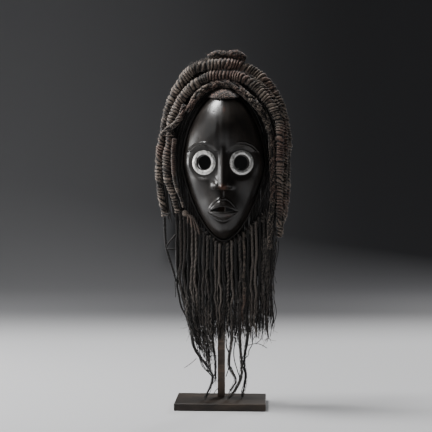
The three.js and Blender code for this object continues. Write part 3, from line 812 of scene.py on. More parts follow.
def wear_at(co):
    """Where the blackened skin is rubbed through: nose tip, lower lip and a spot on the forehead."""
    x, z = co.x, co.z
    nose = bell(x - 1, 9) * bell(z - NOSE_TIP_Z + 2, 7)
    lip = (0.5 * bell(x - 9, 10) + 0.3 * bell(x + 8, 12)) * bell(z - MOUTH_Z + 7, 5)
    mark = 0.7 * bell(x - 2, 4) * bell(z - FACE_Z - 87, 9)
    return clamp(nose + lip + mark)


def wooden_face():
    body = dome_skin(180, 286, 0, lambda x, z, share: max(
        FLANGE_THICKNESS - 1.5 * smooth(share, 0.97, 1), carved_height(x, z, share)))
    front = RIM_Y - FLANGE_THICKNESS
    was = 0.0
    for grow, rise in RIM_BEAD:
        rim_step(body, was, grow, front - rise)
        was = grow
    rim_step(body, was, FLANGE_WIDTH, RIM_Y - 0.6)
    rim_step(body, FLANGE_WIDTH, FLANGE_WIDTH - 0.6, RIM_Y)
    hollow = dome_skin(54, 84, -WALL, adze_height)
    rim_step(hollow, -WALL, -WALL, RIM_Y + 5)
    cutters = [closed(hollow), eye_cutter(-1), eye_cutter(1), mouth_cutter()]
    face = cut_away(closed(body), cutters)
    paint(face, "wear", wear_at)

    def inside(co):
        height = hollow_height(rim_share(co.x, co.z, -WALL))
        return smooth(co.y, RIM_Y - height - 3.5, RIM_Y - height - 1) if height > 0 else 0.0

    paint(face, "inside", inside)
    finished(face, "carved_face", ["wooden_face"], WOOD, sharp_angle=38)


def eye_ring(side, name, node):
    """A sheet metal washer, beaten over the edge of the eye hole and held by small tacks."""
    outer = EYE_HOLE_RADIUS - GAP
    inner = outer - RING_SHEET
    crown = (RING_OUTER_RADIUS + outer) / 2
    # The sheet's section: distance from the eye's middle and depth
    profile = [
        (inner, RING_LIP), (inner, 0.2), (inner + 0.2, -0.6), (inner + 1.0, -1.1), (crown - 2.2, -1.9),
        (crown - 0.6, -2.3), (crown + 0.9, -2.1), (crown + 2.0, -1.6), (RING_OUTER_RADIUS - 0.7, -1.1),
        (RING_OUTER_RADIUS, -0.8), (RING_OUTER_RADIUS, -GAP), (outer, -GAP), (outer, RING_LIP),
    ]
    bm = bmesh.new()
    ring = [bm.verts.new((radius, height, 0)) for radius, height in profile]
    edges = [bm.edges.new((a, b)) for a, b in zip(ring, ring[1:] + ring[:1])]
    bmesh.ops.spin(
        bm, geom=ring + edges, cent=(0, 0, 0), axis=(0, 1, 0), angle=tau, steps=160,
        use_merge=True, use_duplicate=False)
    bmesh.ops.remove_doubles(bm, verts=bm.verts, dist=1e-3)
    reach_of = {v: hypot(v.co.x, v.co.z) for v in bm.verts}
    long = [e for e in bm.edges if abs(reach_of[e.verts[0]] - reach_of[e.verts[1]]) > 0.9]
    bmesh.ops.subdivide_edges(bm, edges=long, cuts=2, use_grid_fill=True)
    for v in bm.verts:
        x, y, z = v.co
        if y < -0.6:
            v.co.y += 0.42 * ripple(x / 2.2, z / 2.2, side * 7) + 0.6 * ripple(x / 6, z / 6, side * 3)
    bmesh.ops.recalc_face_normals(bm, faces=bm.faces)
    parts = [bm]
    for k in range(TACK_COUNT):
        angle = tau * (k + 0.3 * chance.random()) / TACK_COUNT
        reach = RING_OUTER_RADIUS - 2.2 + 0.5 * chance.random()
        head = bmesh.new()
        bmesh.ops.create_uvsphere(head, u_segments=12, v_segments=8, radius=TACK_RADIUS)
        bmesh.ops.scale(head, verts=head.verts, vec=(1, 0.55, 1))
        place = (reach * cos(angle), -1.75, reach * sin(angle))
        bmesh.ops.translate(head, verts=head.verts, vec=place)
        parts.append(head)
    whole = merged(parts)

    # Darker at the outer edge, round the inner lip and in patches and spots.
    def dark_edges_and_spots(co):
        reach = hypot(co.x, co.z)
        edge = smooth(reach, RING_OUTER_RADIUS - 0.9, RING_OUTER_RADIUS - 0.1)
        lip = 1 - smooth(reach, inner + 1.4, inner + 2.4)
        patch = smooth(ripple(co.x / 3, co.z / 3, side * 11), 0.2, 0.6)
        spots = smooth(ripple(co.x / 1.3, co.z / 1.3, side * 5), 0.35, 0.6)
        return clamp(0.8 * edge + lip + 0.35 * patch + 0.45 * spots)

    paint(whole, "dark_edges_and_spots", dark_edges_and_spots)
    bmesh.ops.transform(whole, matrix=eye_frame(side), verts=whole.verts)
    finished(whole, name, [node], TIN, sharp_angle=50)


def forehead_pad():
    """A felted band across the top of the forehead, thick in the middle, thin at its ends."""
    def skin(x, z, proud):
        share = rim_share(x, z, proud)
        return RIM_Y - carved_height(x, z, share, DOME_DEPTH + proud)

    bm = bmesh.new()
    crest, shade = tone_and_groove_shade_layers(bm)
    bmesh.ops.create_grid(bm, x_segments=150, y_segments=64, size=1)
    limit = RIM_Y - FLANGE_THICKNESS - GAP
    for v in bm.verts:
        a, b = v.co.xy
        u, w = rounded_square(a, b)
        x = PAD_HALF_WIDTH * u
        low = PAD_LOW_Z + 5 * u * u
        high = PAD_LOW_Z + PAD_HEIGHT - 10 * u * u
        z = lerp(low, high, (w / sqrt(max(0.02, 1 - u * u)) + 1) / 2)
        edge = clamp(1 - max(abs(a), abs(b)) ** 6)
        here = Vector((x / 2.5, z / 2.5, 4))
        knots = 1 - abs(2.2 * noise(here)) + 0.7 * noise(here * 2.3)
        back = min(limit, skin(x, z, 2 * GAP))
        front = min(limit, skin(x, z, PAD_PROUD - 1.2))
        y = lerp(back - 0.2, front, edge ** 0.45) - 1.5 * (knots - 0.5) * edge ** 0.3
        v.co = (x, y, z)
        # Painted shade in the felt's hollows: the crest value is low where the knots are low.
        v[crest] = clamp(0.1 + 0.75 * max(0.0, knots) ** 2)
        v[shade] = clamp(0.45 + noise(here * 0.7))
    for v in only_verts(bmesh.ops.extrude_edge_only(bm, edges=open_edges(bm))):
        v.co.y = min(limit, skin(v.co.x, v.co.z, 2 * GAP)) + 0.2
        # Painted shade: the side wall down to the wood gets no crest value, and is painted dark.
        v[crest] = 0.0
    finished(closed(bm), "felted_pad", ["forehead_pad"], FELT)


# Headdress: each coil's middle line, from its left end over the crown to its right end, and its
# radius along the way. A point beside the face is its distance outside the widest line, its
# depth behind the rim's plane and its height over the widest line. A point over the crown is a
# share of the half width, its depth and its height over the top of the face.
COILS = {
    "outer_coil": {
        "left": [(32, 0.8, -89), (40, 0.8, -46), (42.3, 0.8, 4), (33.5, 1.8, 60)],
        "crown": [(-1.31, 1.8, -15), (-0.79, -1.2, 35), (-0.045, -4.2, 44.4), (0.49, 5.8, 40.4),
                  (1.03, 10.3, 17), (1.42, 10.3, -25)],
        "right": [(36.5, 10.4, 58), (40, 10.2, 36), (38, 10, 14), (36.5, 9.8, -25), (33, 9.2, -70),
                  (25.5, 5, -124)],
        "radius": [5, 5.6, 6, 8.2, 9.4, 8.4, 7, 6.4, 8.2, 4],
    },
    "second_coil": {
        "left": [(10, -7.2, -83), (16, -7.2, -59), (27.5, -7.2, -22), (27.5, -7.2, 14),
                 (22.5, -7.2, 42), (21, -7.2, 67)],
        "crown": [(-1, -8.2, -8), (-0.51, -9.2, 20), (-0.045, -8.2, 26.5), (0.55, -9.7, 18.5),
                  (1.03, -10.2, -11)],
        "right": [(24, -12.7, 72), (26.5, -14, 35), (26, -14, -13), (25.5, -13, -71),
                  (24.5, -12.2, -107)],
        "radius": [4, 6.6, 6.8, 7.6, 8, 7.6, 6.9, 6.8, 5.4, 4],
    },
    "inner_coil": {
        "crown": [(-0.89, -16.2, -36), (-0.69, -16.2, -11), (-0.42, -13.2, 5), (-0.045, -12.2, 11.8),
                  (0.25, -14.2, 8.5), (0.55, -18.2, -7), (0.75, -19.2, -19.5), (0.925, -17.2, -34.5)],
        "right": [(4.5, -15.2, 69), (11, -14.2, 47), (13, -14.2, 4), (15, -17, -42),
                  (13.5, -16.2, -70), (10, -14.2, -104), (9.5, -14.2, -143)],
        "radius": [5, 6.4, 6.4, 6.2, 5.4, 5, 5, 4.6, 3.6],
    },
    "shoulder_coil": {
        "crown": [(0.48, -0.9, 29.5), (0.72, -0.7, 21.5), (0.985, -0.9, 6), (1.36, -1.7, -28)],
        "right": [(33.5, -2.7, 56), (35, -3.1, 23), (34, -3.8, -25), (32.5, -4.4, -60),
                  (30.5, -5.6, -97)],
        "radius": [2.6, 4.9, 5.3, 5.2, 5, 3.4],
    },
    "temple_braid": {
        "left": [(35.5, -18.2, 48.5), (25.8, -21.2, 56), (12.5, -23.2, 65.5)],
        "crown": [(-1.045, -24.2, -41), (-0.96, -25.2, -23.5)],
        "radius": [3.4, 4.6, 4.8, 4.2],
    },
    "inner_left_lock": {
        "left": [(-0.5, -17.4, -73), (4, -17.2, -58), (12.5, -18.2, -36), (16.5, -18.2, -2),
                 (16.5, -18.2, 20), (14, -16.2, 42)],
        "radius": [2.4, 3, 3.6, 3.6],
    },
    "rear_coil": {
        "left": [(9, 6.8, -11), (10, 7.3, 20), (2, 7.3, 60)],
        "crown": [(-0.75, 7.8, -20), (-0.39, 7.8, 1), (0, 7.8, 7), (0.39, 7.8, 1),
                  (0.75, 7.8, -20)],
        "right": [(2, 7.3, 60), (10, 7.3, 20), (9, 6.8, -11)],
        "radius": [3.4, 5, 5.8, 6.8, 7.2, 6.8, 5.8, 5, 3.4],
    },
    "topknot": {
        "crown": [(-0.4, 4.8, 56), (-0.21, 2.8, 60.5), (0.06, 2.8, 59.5), (0.28, 3.8, 61),
                  (0.55, 4.8, 53)],
        "radius": [4.6, 7.4, 6.2, 7.8, 5],
    },
}


def beside_face(side, point):
    outside, depth, rise = point
    return side * (FACE_HALF_WIDTH + outside), RIM_Y + depth, FACE_Z + rise


def over_crown(point):
    share, depth, rise = point
    return share * FACE_HALF_WIDTH, RIM_Y + depth, CROWN_Z + rise


def coil_line(name):
    """A coil's middle line and its radius along the way."""
    coil = COILS[name]
    points = [beside_face(-1, p) for p in coil.get("left", [])]
    points += [over_crown(p) for p in coil.get("crown", [])]
    points += [beside_face(1, p) for p in coil.get("right", [])]
    return Line(points), radius_through(coil["radius"])


WRAPPED = {
    # name: thread pitch, thread depth, starts of the winding, rings in a pitch, sides
    "outer_coil": (6.1, 2.7, 2, 11, 30),
    "second_coil": (5.4, 2.2, 1, 10, 28),
    "shoulder_coil": (5.0, 1.8, 2, 10, 22),
    "rear_coil": (4.4, 1.3, 1, 6, 16),
    "inner_left_lock": (3.4, 1.0, 1, 7, 14),
}


def wrapped_coils():
    for seed, (name, (pitch, depth, starts, rings, sides)) in enumerate(WRAPPED.items()):
        line, radius = coil_line(name)
        bm = tube(line, radius, pitch / rings, sides, wrapping(pitch, depth, starts), 10.0 * seed)
        # The rear coil lies behind the others and is near-black as a painted shade.
        material = DARK_FIBRE_AND_SHADE if name == "rear_coil" else COIL
        finished(bm, "wrapped_" + name, [name], material)


def twisted_coil(name, piece_name, lay, pitch, depth, seed):
    """Three wrapped strands laid round each other, with painted shade where they lie deep between."""
    line, radius = coil_line(name)
    bm = merged(laid_strands(line, radius, 3, lay, 0.8, 14, seed, wrapping(pitch, depth)))
    middle = KDTree(len(line.dense))
    for k, point in enumerate(line.dense):
        middle.insert(point, k)
    middle.balance()
    # Painted shade: the crest value falls to nothing deep between the strands, and the material paints
    # it dark.
    crest = bm.verts.layers.float["relief"]
    for v in bm.verts:
        k, distance = middle.find(v.co)[1:]
        reach = distance / radius(line.places[k] / line.length)
        v[crest] *= smooth(reach, 0.62, 0.98)
    finished(bm, piece_name, [name], COIL)


REAR_HAIR_COUNT = 36


def hair_behind():
    """Dark strands between the coils and the face's rim, from the crown down to the beard; their
    near-black is a painted shade.
    """
    parts = []
    for side, widest in ((-1, 50), (1, 37)):
        for k in range(REAR_HAIR_COUNT):
            reach = lerp(3, widest, (k + chance.random()) / REAR_HAIR_COUNT)
            forward = 6 if side > 0 and 0.84 * reach > 14 else 0
            depth = pick(0.5, 6) - forward
            points = []
            for n in range(9):
                angle = pi / 2 * (n + 0.3 * chance.random()) / 8
                t = cos(angle)
                out = reach * lerp(0.84, 1, t)
                x = side * (FACE_HALF_WIDTH + out) * outline_share(min(t, 0.995)) ** 0.93
                points.append((x, RIM_Y + depth, FACE_Z + t * (FACE_ABOVE + out)))
            # The strand has come round to the widest line, and from there it hangs
            low = -70 - pick(0, 34)
            top_x = side * (FACE_HALF_WIDTH + out)
            low_x = side * (FACE_HALF_WIDTH + lerp(-6, 25, (out - 3) / 34))
            for share in (0.35, 0.7, 1):
                x = lerp(top_x, low_x, share ** 1.6) + pick(-1, 1)
                points.append((x, RIM_Y + depth, FACE_Z + low * share))
            radius = pick(1.3, 2.1)
            parts.append(tube(
                Line(points), lambda s: radius * lerp(1, 0.6, s ** 4), 6, 6, twisting(9, 0.4),
                k * side))
    finished(merged(parts), "hair_behind_coils", [], DARK_FIBRE_AND_SHADE)


def topknot():
    line, radius = coil_line("topknot")
    bm = tube(line, radius, 0.6, 40, matting(1.6), 5.0)
    finished(bm, "matted_topknot", ["topknot"], FELT)


# Beard

def roll_z(x):
    return ROLL_LOW_Z + ROLL_RISE * (hypot(x, 9) / ROLL_SPAN) ** 1.25


def roll_y(x):
    return RIM_Y - 4.4 + 8 * (x / ROLL_SPAN) ** 2


# The longest cords go on below the others towards the base: each one's index and the points of
# its tail
TAILS = {
    3: [(-51.6, -0.8, 106), (-45, -2, 90), (-34.5, -4, 76), (-18, -7, 51), (-24.5, -10, 27),
        (-31, -12, BASE_REST + 2.4)],
    9: [(-19, 0, 112), (-14.5, 0, 80), (-13.5, -2, 44)],
    14: [(13.5, -1, 112), (8.8, -2, 68), (20.5, -4, 43), (11, -6, 26)],
    16: [(27, 0, 112), (29.7, -4, 52), (20.5, -9, 29), (7.5, -14, BASE_REST + 2.4)],
    18: [(40, 3, 118), (34, 3, 74), (37, 1, 50), (31, -1, BASE_REST + 2.4)],
}


def cord_x(index):
    return lerp(ROLL_LEFT + CORD_MARGIN, ROLL_RIGHT - CORD_MARGIN, index / (CORD_COUNT - 1))


def inwards_at(x, z, swing):
    """How far a strand at the beard's left side has swung inwards at a height."""
    drop = max(0.0, (CORD_END_Z + SWING_RISE - z) / SWING_RISE)
    return swing * max(0.0, -40 - x) * drop ** 1.6


def cord_route(index):
    """The points of a front cord, from the roll down to its end or its tail."""
    x = cord_x(index)
    y = roll_y(x) - ROLL_RADIUS - 2 * GAP - CORD_RADIUS
    low = CORD_END_Z + 13 * sin(index * 2.4) - 0.2 * max(0.0, abs(x) - 55)
    points = []
    for share in [k / 22 for k in range(23)]:
        wave = 1.1 * sin(5.5 * share + 0.35 * index) * smooth(share, 0, 0.25)
        crinkle = 1.5 * sin(15 * share + 2.1 * index) + 0.8 * sin(37 * share + 3.3 * index)
        crinkle *= smooth(share, 0.05, 0.6)
        z = lerp(roll_z(x) + ROLL_RADIUS, low, share)
        here_x = x + wave + crinkle + inwards_at(x, z, CORD_SWING)
        points.append((here_x, y - 0.04 * max(0.0, abs(x) - 40) * share, z))
    return points[:18] + TAILS[index] if index in TAILS else points


def cord_radius(index):
    if index == CONE_CORD:
        return radius_through([CORD_RADIUS, CORD_RADIUS, CORD_RADIUS, 3.3, 3, 2, 1])
    return lambda share: CORD_RADIUS * lerp(1.15, 0.8, smooth(share, 0.5, 1))


def front_cords():
    for index in range(CORD_COUNT):
        line = Line(cord_route(index))
        if index == CONE_CORD:
            bm = tube(line, cord_radius(index), 0.4, 14, wrapping(2.0, 0.7), 3.3)
            material = COIL
        else:
            lay = 7 + 2 * sin(index * 1.7)
            bm = merged(laid_strands(line, cord_radius(index), 2, lay, 1.15, 7, index * 1.3))
            material = (DARK_FIBRE_AND_SHADE, CORD, CORD)[index * 2 % 3]
        number = f"{index + 1:02d}"
        finished(bm, "cord_" + number, ["beard_cord_" + number], material)


def beard_roll():
    """The roll that follows the jaw, with the hitch of each front cord."""
    xs = [lerp(ROLL_LEFT, ROLL_RIGHT, k / 12) for k in range(13)]
    roll = Line([(x, roll_y(x), roll_z(x)) for x in xs])
    parts = [tube(roll, lambda s: ROLL_RADIUS, 0.7, 12, wrapping(3.2, 0.8), 2.0)]
    parts += [cord_loop(cord_x(index), index) for index in range(CORD_COUNT)]
    finished(merged(parts), "roll_with_hitches", ["beard_roll"], CORD)


# Layers of strands behind the front cords: depth behind the roll's middle and number of strands
REAR_LAYERS = [(-0.6, 42), (2.6, 42), (6, 34)]


def rear_strands():
    """The many strands behind the front cords, near-black as a painted shade; the rear layers start at
    the face's rim.
    """
    parts = []
    for layer, (depth, count) in enumerate(REAR_LAYERS):
        for k in range(count):
            x = lerp(ROLL_LEFT + 4, ROLL_RIGHT - 4, (k + 0.5) / count) + pick(-1.2, 1.2)
            low = CORD_END_Z + 12 * sin(k * 1.9 + layer) + pick(-14, 12)
            y = roll_y(x) + depth
            top = roll_z(x) - 0.6 * max(0.0, depth)
            wave = pick(-3, 3)
            points = [(x, y, top), (x + wave * 0.3, y + 0.5, top - 30)]
            for share, sway in ((0.5, 1), (0.75, -0.8), (1, 0.6)):
                z = lerp(top, low, share)
                inwards = inwards_at(x, z, STRAND_SWING)
                points.append((x + inwards + wave * sway, y - 0.5 * share, z))
            if layer and abs(x) < FACE_HALF_WIDTH - 1:
                start = jaw_edge_z(x) + 5
                below = lerp(start, top, 0.6)
                points[:1] = [(x, RIM_Y + 1.6, start), (x, RIM_Y + 2 + 0.4 * depth, below)]
            radius = pick(1.3, 2.0)
            parts.append(tube(
                Line(points), lambda s: radius * lerp(1, 0.5, s * s), 3.3, 6, twisting(6, 0.5),
                k + 50 * layer))
    finished(merged(parts), "rear_strands", [], DARK_FIBRE_AND_SHADE)


def cord_loop(x, seed):
    """The hitch by which a cord hangs from the roll."""
    slope = atan2(roll_z(x + 1) - roll_z(x - 1), 2)
    reach = ROLL_RADIUS + 1.3
    points = []
    for k in range(13):
        angle = tau * k / 13
        lean = 1.4 * sin(angle / 2)
        offset = Vector((lean, reach * cos(angle), reach * sin(angle)))
        offset.rotate(Matrix.Rotation(-slope, 3, "Y"))
        points.append(Vector((x, roll_y(x), roll_z(x))) + offset)
    return tube(Line(points), lambda s: 1.35, 1.1, 7, twisting(5, 0.4), seed)


def jaw_edge_z(x):
    """Height of the flange's lower edge at a place across."""
    across = abs(x) / (FACE_HALF_WIDTH + FLANGE_WIDTH)
    t = (1 - across ** (1 / JAW_SHAPE[1])) ** (1 / JAW_SHAPE[0])
    return FACE_Z - t * (FACE_BELOW + FLANGE_WIDTH)


def jaw_locks():
    """Three thick locks at each side, from behind the flange down into the beard."""
    pitch = 2 * JAW_LOCK_RADIUS + 2 * GAP
    for side, word in ((-1, "left"), (1, "right")):
        for index in range(JAW_LOCK_COUNT):
            x = side * (FACE_HALF_WIDTH - 1 - (JAW_LOCK_COUNT - 1 - index) * pitch)
            behind = roll_y(x) + ROLL_RADIUS + 3 * GAP + JAW_LOCK_RADIUS
            points = [
                (x, RIM_Y + GAP + 0.8 * JAW_LOCK_RADIUS, jaw_edge_z(x) + 12),
                (x, behind, roll_z(x) + 9),
                (x, behind + 0.5, roll_z(x) - 12),
                (0.97 * x, behind - 1, lerp(ROLL_LOW_Z, CORD_END_Z, 0.25)),
                (0.9 * x, behind - 2, lerp(ROLL_LOW_Z, CORD_END_Z, 0.66)),
            ]
            radius = radius_through([s * JAW_LOCK_RADIUS for s in (0.8, 1, 1, 0.8, 0.5)])
            strands = laid_strands(
                Line(points), radius, 3, 30, 1.4, 10, index + side, twisting(6, 0.5))
            name = f"{word}_jaw_lock_{index + 1}"
            finished(merged(strands), "loose_" + name, [name], DARK_FIBRE_AND_SHADE)


def beard_knot():
    """A knotted lump at the left end of the jaw, with loops of cord that run down from it."""
    jaw_end = FACE_HALF_WIDTH
    centre = Vector((3 - jaw_end, roll_y(jaw_end) - 14.5, roll_z(jaw_end) + 4.6))
    turns = []
    for k in range(40):
        angle = tau * k / 9
        spread = cos(pi * k / 39)
        reach = 3.6 * sqrt(max(0.05, 1 - 0.8 * spread * spread))
        across, along = reach * cos(angle), 0.8 * reach * sin(angle)
        turns.append(centre + Vector((across, along, 3.8 * spread)))
    parts = [tube(Line(turns), lambda s: 1.7, 0.8, 9, twisting(4, 0.4), 1.0)]
    for k in range(4):
        start = centre + Vector((-2 + 2.5 * k, -2.5, 2 - k))
        x = cord_x(3 + k)
        end = Vector((x, roll_y(x) - 7.5, roll_z(x) - 6))
        middle = start.lerp(end, 0.4) + Vector((2.5, -2.5, 5))
        parts.append(tube(Line([start, middle, end]), lambda s: 1.3, 0.9, 8, twisting(5, 0.4), k))
    finished(merged(parts), "loop_knot", ["beard_knot"], COIL)


def stray_cord():
    points = [(32.4, 0.8, -90), (32.6, 0.8, -96), (30, -1.2, -138), (26, -1.2, -155),
              (18, -2.6, -180), (13, -5, -198)]
    line = Line([beside_face(-1, p) for p in points])
    strands = laid_strands(line, lambda s: 2.7 * lerp(1.05, 0.7, s), 2, 10, 0.9, 8, 2.0)
    finished(merged(strands), "stray_cord", ["hanging_stray_cord"], DARK_FIBRE_AND_SHADE)


# Thin fibres

def fibres(name, strands, material):
    """Many thin strands, each a list of points and a radius, as one mesh of closed threads."""
    curve = bpy.data.curves.new(name, "CURVE")
    curve.dimensions = "3D"
    curve.bevel_depth = 1.0
    curve.bevel_resolution = 0
    curve.use_fill_caps = True
    curve.resolution_u = 2
    for points, radius in strands:
        spline = curve.splines.new("POLY")
        spline.points.add(len(points) - 1)
        for k, p in enumerate(points):
            spline.points[k].co = (*p, 1)
            spline.points[k].radius = radius * lerp(1, 0.45, k / (len(points) - 1))
    holder = placed(name, curve)
    bm = bmesh.new()
    bm.from_mesh(evaluated(holder))
    bpy.data.objects.remove(holder)
    bmesh.ops.remove_doubles(bm, verts=bm.verts, dist=1e-4)
    bmesh.ops.recalc_face_normals(bm, faces=bm.faces)
    paint(bm, "relief", lambda co: 0.7)
    paint(bm, "shade", lambda co: clamp(0.5 + 0.9 * noise(co / 7)))
    finished(bm, name, [], material)


def wandering(start, direction, length, steps, curl):
    """A thin strand that sets off in a direction and wanders."""
    point = Vector(start)
    heading = Vector(direction).normalized()
    points = [point.copy()]
    for _ in range(steps):
        turn = Vector([pick(-1, 1) for _ in range(3)])
        heading = (heading + curl * turn).normalized()
        point = point + heading * (length / steps)
        points.append(point.copy())
    return points


# How many hairs stand off each coil, and how many in the tuft at the upper left
FUZZ = {"outer_coil": 420, "second_coil": 260, "inner_coil": 160, "shoulder_coil": 90, "topknot": 170}
TUFT = 150


def coil_fuzz():
    """Short hairs that stand off the coils and the topknot, and a tuft at the upper left."""
    strands = []
    for name, amount in FUZZ.items():
        line, radius = coil_line(name)
        shares = sorted(chance.random() for _ in range(amount))
        for share, (point, normal, binormal) in zip(shares, line.sample(shares)):
            angle = pick(0, tau)
            out = normal * cos(angle) + binormal * sin(angle)
            along = normal.cross(binormal) * pick(-1, 1)
            length = pick(3, 8)
            start = point + out * radius(share) * 0.9
            hair = wandering(start, out + along * 1.5, length, 4, 0.45)
            strands.append((hair, pick(0.14, 0.26)))
    for _ in range(TUFT):
        across = chance.random()
        start = (lerp(-55, -24, across), RIM_Y - pick(0, 8), CROWN_Z + lerp(38, 51, across))
        way = (pick(-0.8, 0.5), pick(-0.8, 0.4), 0.8)
        strands.append((wandering(start, way, pick(6, 13), 8, 0.8), pick(0.25, 0.45)))
    fibres("coil_fuzz", strands, COIL)


WISPS_AT_TIP = 7
WISPS_ALONG = 9


def beard_wisps():
    """Thin strands that fill out the beard's ends and its longest tails."""
    strands = []
    for index in range(CORD_COUNT):
        route = cord_route(index)
        tip = Vector(route[-1])
        for _ in range(WISPS_AT_TIP):
            way = (pick(-0.7, 0.7), pick(-0.4, 0.4), -1)
            length = min(pick(8, 24), max(3, tip.z - BASE_REST - 3))
            strands.append((wandering(tip, way, length, 7, 0.4), pick(0.22, 0.5)))
        line = Line(route)
        for _ in range(WISPS_ALONG):
            share = pick(0.35, 1)
            point = line.sample([share])[0][0]
            way = (pick(-1, 1), pick(-1, 0.2), -0.9)
            length = min(pick(4, 13), max(2, point.z - BASE_REST - 3))
            strands.append((wandering(point, way, length, 5, 0.5), pick(0.14, 0.26)))
    fibres("beard_wisps", strands, CORD)


def curly_strand(x, y, top, low, sway, coil):
    """A crinkled strand from top down to low, which follows the beard's swing."""
    points = []
    count = max(6, int((top - low) / 2.6))
    start = pick(0, tau)
    lay = pick(7, 15)
    for k in range(count + 1):
        z = lerp(top, low, k / count)
        loose = smooth(k / count, 0, 0.5)
        turn = start + tau * (top - z) / lay
        drift = sway * ripple(x * 0.3, z / 22, start)
        here_x = x + inwards_at(x, z, STRAND_SWING) + loose * (coil * sin(turn) + drift)
        points.append((here_x, y + loose * (coil * cos(turn) + 0.5 * drift), z))
    return points


# Crinkled strands of the beard. Each row has their number, the ranges of their place across, of
# their step out of the roll, of their top and of their lower end, the wave of that end along the
# beard, their sway, and the ranges of their coil and radius.
BEARD_ENDS = [
    (300, (ROLL_LEFT + 4, 60), (-2, 9), (150, 215), (CORD_END_Z - 28, CORD_END_Z + 14), 8,
     4, (0.5, 2.2), (0.4, 0.85)),
    (26, (62, 82), (0, 9), (235, 300), (108, 160), 0, 7, (0.3, 1.2), (0.5, 0.9)),
    (22, (66, 88), (0, 9), (300, 335), (190, 255), 0, 6, None, (0.9, 1.5)),
]
BUNCH_COUNT = 110


def beard_ends():
    """Crinkled strands that fill out the beard's lower third, its thinner right side and the
    bunch at its lower left."""
    light, dark = [], []
    for count, places, steps, tops, ends, wave, sway, coils, radii in BEARD_ENDS:
        for k in range(count):
            x = pick(*places)
            y = roll_y(x) - pick(*steps)
            top = pick(*tops)
            low = pick(*ends) + wave * sin(x / 7)
            coil = pick(*coils) if coils else 1.0
            strand = curly_strand(x, y, top, low, sway, coil)
            (dark if k % 2 else light).append((strand, pick(*radii)))
    for k in range(BUNCH_COUNT):
        across = chance.random()
        low = lerp(54, 98, abs(2 * across - 1) ** 1.5) + pick(0, 30)
        start, coil = pick(0, tau), pick(0.6, 2.2)
        depth, lay = pick(-6, 3), pick(1.4, 2.4)
        top = pick(145, 200)
        points = []
        for n in range(30):
            z = lerp(top, low, n / 29)
            x = lerp(lerp(-31, -64, smooth(z, 50, 165)), -15, across)
            y = lerp(8, depth, smooth(n, 0, 12))
            turn = start + z / lay
            points.append((x + coil * sin(turn), y + coil * cos(turn), z))
        (dark if k % 3 else light).append((points, pick(0.5, 0.95)))
    fibres("beard_ends_light", light, CORD)
    fibres("beard_ends_dark", dark, DARK_FIBRE_AND_SHADE)


# Loose strands, twigs and tails seen from the front: the radius, then points of x, y and z
LOOSE = [
    (0.9, [(-66, 6, 172), (-57, 1, 139), (-51, -1, 117), (-49, -2, 98), (-42, -4, 84), (-35, -5, 66),
           (-22, -7, 53), (-18, -8, 46), (-21, -9, 36), (-28, -10, 22)]),
    (0.8, [(-48, 0, 124), (-44, -2, 98), (-38, -3, 76), (-28, -5, 60), (-20, -7, 50)]),
    (0.9, [(-40, 0, 124), (-41, -3, 98), (-38, -4, 83), (-34, -5, 68), (-24, -6, 57)]),
    (0.8, [(-33, 0, 126), (-34, -3, 103), (-29, -4, 85), (-28, -5, 65), (-21, -7, 52)]),
    (0.8, [(-27, 0, 122), (-27, -2, 100), (-23, -3, 84), (-26, -4, 74)]),
    (1.0, [(-17, 1, 122), (-18, -1, 103), (-15, -2, 85), (-13.5, -3, 66), (-16, -5, 50), (-19, -8, 44)]),
    (0.7, [(-23, -2, 84), (-16, -3, 83.6), (-9, -3, 84)]),
    (0.6, [(-45, -3, 80), (-53, -5, 72.6), (-66, -7, 63.6)]),
    (0.7, [(-8.6, -4, 30.4), (-13.7, -6, 25.3), (-16.5, -8, 20.4)]),
    (1.1, [(4, -2, 112), (5, -3, 99), (9, -3, 88), (10.6, -4, 75), (8, -4, 62), (4, -5, 49)]),
    (1.0, [(21, -1, 116), (17, -2, 93), (18, -3, 78), (23, -4, 60), (26.5, -5, 47), (21, -7, 34),
           (14, -9, 22)]),
    (0.8, [(12, -4, 67), (17, -5, 56), (20.5, -5, 45), (16, -7, 34), (10, -9, 27)]),
    (0.8, [(29.7, 0, 74), (35.4, -1, 53), (33.5, -1, 37), (30.3, -2, 26.5), (29.7, -3, 17.5)]),
    (0.9, [(47.5, 2, 124), (47.5, 1, 103), (42.4, 0, 93), (41, -1, 85), (33.5, -2, 79)]),
    (0.7, [(33.5, -1, 100.7), (42.4, 0, 102), (54, 0, 104.6), (63, -1, 102.7), (73, -2, 97)]),
    (0.8, [(66, 4, 138), (64, 2, 120), (61.6, 1, 111), (54, 0, 104.6)]),
    (0.7, [(84, 6, 178), (87.7, 4, 158), (85.8, 4, 145), (80.7, 3, 134), (78, 3, 116)]),
    (0.8, [(91.5, 6, 277), (91, 4, 262), (88.5, 3, 247), (82.5, 3, 220)]),
    (0.7, [(85, 6, 277), (87.6, 4, 258), (84, 3, 238), (79.5, 3, 220)]),
    (2.2, [(-79.5, -2, 287), (-84, -4, 281), (-93, -5, 270), (-95, -5, 266)]),
    (1.9, [(-94.5, 0, 263), (-88, -1, 261.5), (-81, 0, 263)]),
    (1.7, [(-104, 6, 322), (-96, 3, 320), (-88, 0, 322)]),
    (0.8, [(-81, 3, 216), (-81.5, 2, 205), (-80.5, 2, 181)]),
    (0.9, [(75, -19, 374), (70, -19, 360), (63, -17, 342), (58, -14, 328)]),
]


def loose_strands():
    parts = []
    for k, (radius, points) in enumerate(LOOSE):
        line = Line([(x, y, max(z, BASE_REST + 1.2 + radius)) for x, y, z in points])
        parts.append(tube(line, lambda s: radius * lerp(1, 0.7, s), 1.2, 7, twisting(6, 0.3), k))
    finished(merged(parts), "loose_strands", [], DARK_FIBRE_AND_SHADE)


TAIL_COMPANIONS = 5


